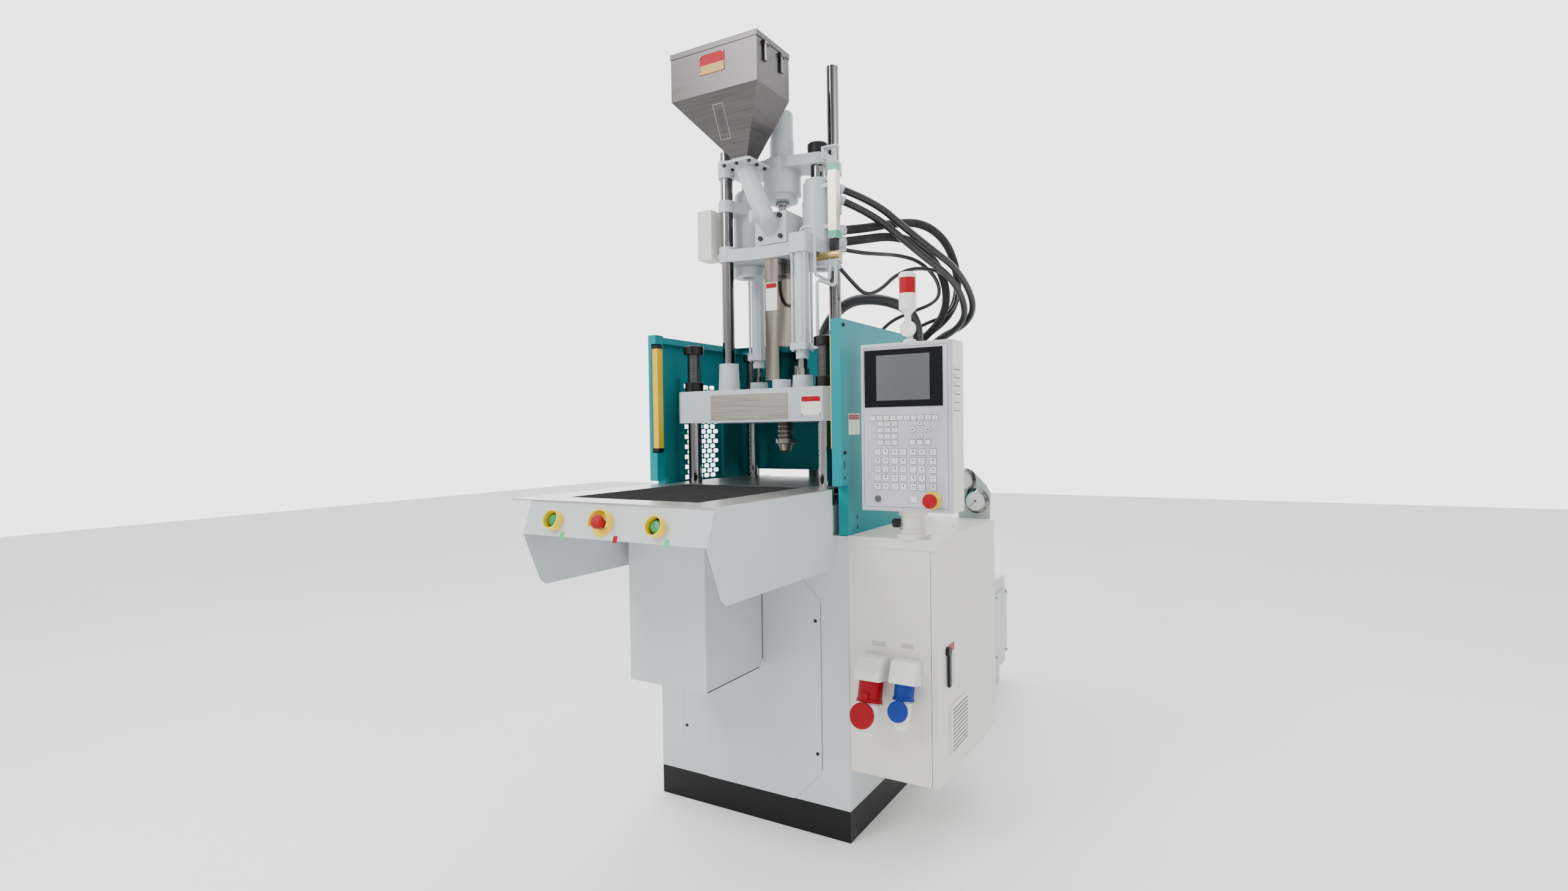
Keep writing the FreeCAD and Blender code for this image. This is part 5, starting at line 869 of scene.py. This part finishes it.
def flap_hinges():
    """Hinge lugs of the spring flaps, on the collars."""
    along = Vector((0, -math.sin(OUTLET_LEAN), -math.cos(OUTLET_LEAN)))
    front = Vector((0, along.z, -along.y))
    for name, x, radius, material in (("red_lug", 506, 40, SOCKET_RED),
                                      ("blue_lug", 619, 32, BLUE_PLASTIC)):
        root = Vector((x, OUTLET_ROOT[0] - radius, OUTLET_ROOT[1]))
        mesh = bmesh.new()
        add_tag(mesh, root + along * LUG_ALONG + front * (radius - 1), front, 24, 20, 6)
        as_rider(name, mesh, material, "base")


flap_hinges()
button_sleeves()
gauge_dials()
sight_window()
transducer_ends()

# ---------------------------------------------------------------- key legends

PANEL_LEFT = 463
PANEL_LOW = 1141
GAP = 1.3                                 # width of the dark gap round a key
STROKE = 0.8
DIGIT_HALF = 2.0
INK = 0.2                                 # thickness of a legend
# A numeral's strokes: their side in half widths, their level in widths, and whether they lie flat.
STROKES = {"a": (0, 1, 1), "b": (1, 0.5, 0), "c": (1, -0.5, 0), "d": (0, -1, 1), "e": (-1, -0.5, 0),
           "f": (-1, 0.5, 0), "g": (0, 0, 1)}
DIGITS = {"0": "abcdef", "1": "bc", "2": "abged", "3": "abgcd", "4": "fgbc", "5": "afgcd", "6": "afgedc",
          "7": "abc", "8": "abcdefg", "9": "abcdfg"}
NUMBER_ROWS = (" 0 ", "123", "456", "789")
MACHINE_COLUMNS = (52, 80, 113, 141, 175, 204, 241)
MACHINE_ROWS = 5
FUNCTION_KEYS = 10
# Arrow keys: column, row, and quarter turns from up.
ARROWS = ((1, 2, 0), (2, 1, 1), (1, 0, 2), (0, 1, 3))
CURSOR_PLACES = ((1, 0), (1, 2), (0, 1), (2, 1), (0, -1), (2, -1), (1, -1))


# Keys of the four groups: left and low side from the panel's corner, width and height.
def function_key(column):
    return 38 + 23.6 * column, 295.5, 18, 15


def machine_key(column, row):
    return MACHINE_COLUMNS[column], 71 + 28 * row, 20, 20


def number_key(column, row):
    return 65 + 24.5 * column, 216 + 20.5 * row, 17, 15


def cursor_key(column, row):
    return 175 + 25.5 * column, 237.5 + 20.5 * row, 17, 15


KEYS = [function_key(column) for column in range(FUNCTION_KEYS)]
KEYS += [machine_key(column, row) for row in range(MACHINE_ROWS) for column in range(len(MACHINE_COLUMNS))]
KEYS += [number_key(column, row) for row in range(len(NUMBER_ROWS)) for column in range(3)]
KEYS += [cursor_key(column, row) for column, row in CURSOR_PLACES]


def key_middle(left, low, wide, tall):
    """Middle of a key in the machine's frame, across and up."""
    return PANEL_LEFT + left + wide / 2, PANEL_LOW + low + tall / 2


def add_bar(mesh, x, z, wide, tall):
    """A flat bar on a key."""
    add_tag(mesh, (x, KEY_FACE, z), FORWARD, wide, tall, INK)


def add_digit(mesh, digit, x, z):
    """A numeral of straight strokes."""
    for stroke in DIGITS[digit]:
        side, level, flat = STROKES[stroke]
        size = (2 * DIGIT_HALF, STROKE) if flat else (STROKE, 2 * DIGIT_HALF)
        add_bar(mesh, x + side * DIGIT_HALF, z + level * 2 * DIGIT_HALF, *size)


def add_arrow(mesh, x, z, angle):
    """An arrow in the panel's plane, turned clockwise from up."""
    outline = [(0, 5), (4, 0.6), (1.3, 0.6), (1.3, -4.6), (-1.3, -4.6), (-1.3, 0.6), (-4, 0.6)]
    corners = [(x + across * math.cos(angle) + up * math.sin(angle),
                z - across * math.sin(angle) + up * math.cos(angle)) for across, up in outline]
    front = [mesh.verts.new(mm(a, KEY_FACE - 0.25, b)) for a, b in corners]
    back = [mesh.verts.new(mm(a, KEY_FACE, b)) for a, b in corners]
    mesh.faces.new(front)
    mesh.faces.new(back[::-1])
    for step in range(len(front)):
        after = (step + 1) % len(front)
        mesh.faces.new((front[after], front[step], back[step], back[after]))


def add_symbol(mesh, x, z, kind):
    """A plain made-up mark of a few bars, different from key to key."""
    add_bar(mesh, x, z - 5, 12, 0.9)
    if kind % 3 == 0:
        add_bar(mesh, x, z + 3, 5, 5)
    elif kind % 3 == 1:
        add_bar(mesh, x - 3, z + 3, 2, 6)
        add_bar(mesh, x + 2, z + 1.5, 5, 3)
    else:
        add_bar(mesh, x, z + 5, 9, 1)
        add_bar(mesh, x, z + 1.5, 9, 1)


def key_legends():
    """Dark gaps round the keys and generic legends: numerals, arrows and plain marks."""
    gaps = bmesh.new()
    for key in KEYS:
        x, z = key_middle(*key)
        wide, tall = key[2:]
        add_tag(gaps, (x, PANEL_FACE, z), FORWARD, wide + 2 * GAP, tall + 2 * GAP, 0.25)
    as_rider("key_gaps", gaps, LEGEND, "panel")
    mesh = bmesh.new()
    for column in range(FUNCTION_KEYS):
        add_digit(mesh, str((column + 1) % 10), *key_middle(*function_key(column)))
    for row, line in enumerate(NUMBER_ROWS):
        for column, digit in enumerate(line):
            x, z = key_middle(*number_key(column, row))
            if digit in DIGITS:
                add_digit(mesh, digit, x, z)
            else:
                add_bar(mesh, x, z, 5, 1)
    for column, row, quarter in ARROWS:
        add_arrow(mesh, *key_middle(*cursor_key(column, row)), quarter * math.pi / 2)
    for row in range(MACHINE_ROWS):
        for column in range(len(MACHINE_COLUMNS)):
            add_symbol(mesh, *key_middle(*machine_key(column, row)), 2 * row + column)
    as_rider("key_legends", mesh, LEGEND, "panel")
    lock = bmesh.new()
    add_tag(lock, (LOCK[0], PANEL_FACE - 4, LOCK[1]), FORWARD, 1.6, 9, FILM)
    as_rider("lock_slit", lock, DARK_PLASTIC, "panel")


key_legends()

# ---------------------------------------------------------------- stage and light

FLOOR_HALF = 14
FLOOR_LOW = -0.0005
# World light: how far a direction agrees with LOOK, and the strength there.
WORLD_SHADE = (-0.1, 0.8)
WORLD_BRIGHT = (0.75, 3.3)


def lay_floor():
    """Wide pale floor just under the machine."""
    mesh = bmesh.new()
    bmesh.ops.create_grid(mesh, x_segments=1, y_segments=1, size=FLOOR_HALF)
    floor = Paint("studio_floor", roughness=0.7)
    floor.colour(floor.ramp(floor.noise(0.8, 2), (0.93, 0.93, 0.93), (0.96, 0.96, 0.96)))
    piece = as_piece("floor", mesh, floor.material)
    piece.location.z = FLOOR_LOW


def light_world():
    """White surroundings whose strength depends on the direction."""
    world = bpy.data.worlds.new("studio")
    world.use_nodes = True
    tree = world.node_tree
    background = tree.nodes["Background"]
    background.inputs["Color"].default_value = (1, 1, 1, 1)
    spot = tree.nodes.new("ShaderNodeTexCoord")
    along = tree.nodes.new("ShaderNodeVectorMath")
    along.operation = "DOT_PRODUCT"
    along.inputs[1].default_value = LOOK
    level = tree.nodes.new("ShaderNodeMapRange")
    level.interpolation_type = "SMOOTHSTEP"
    level.inputs["From Min"].default_value, level.inputs["To Min"].default_value = WORLD_SHADE
    level.inputs["From Max"].default_value, level.inputs["To Max"].default_value = WORLD_BRIGHT
    tree.links.new(spot.outputs["Generated"], along.inputs[0])
    tree.links.new(along.outputs["Value"], level.inputs["Value"])
    tree.links.new(level.outputs["Result"], background.inputs["Strength"])
    bpy.context.scene.world = world


def soft_light(name, at, aim, size, power):
    """A rectangular lamp that faces its aim."""
    lamp = bpy.data.lights.new(name, "AREA")
    lamp.shape = "RECTANGLE"
    lamp.size = size
    lamp.size_y = size * 1.3
    lamp.energy = power
    at = Vector(at)
    linked(name, lamp).matrix_world = Matrix.Translation(at) @ facing(at - Vector(aim))


lay_floor()
light_world()
soft_light("key_light", (-1.6, -4.4, 4.6), (0, 0, 1.3), 2.2, 225)
soft_light("side_light", (4.6, -1.6, 3.6), (0.2, 0, 1.2), 2.0, 40)
soft_light("top_light", (0.3, -0.6, 6.6), (0, 0, 1.0), 6.0, 210)
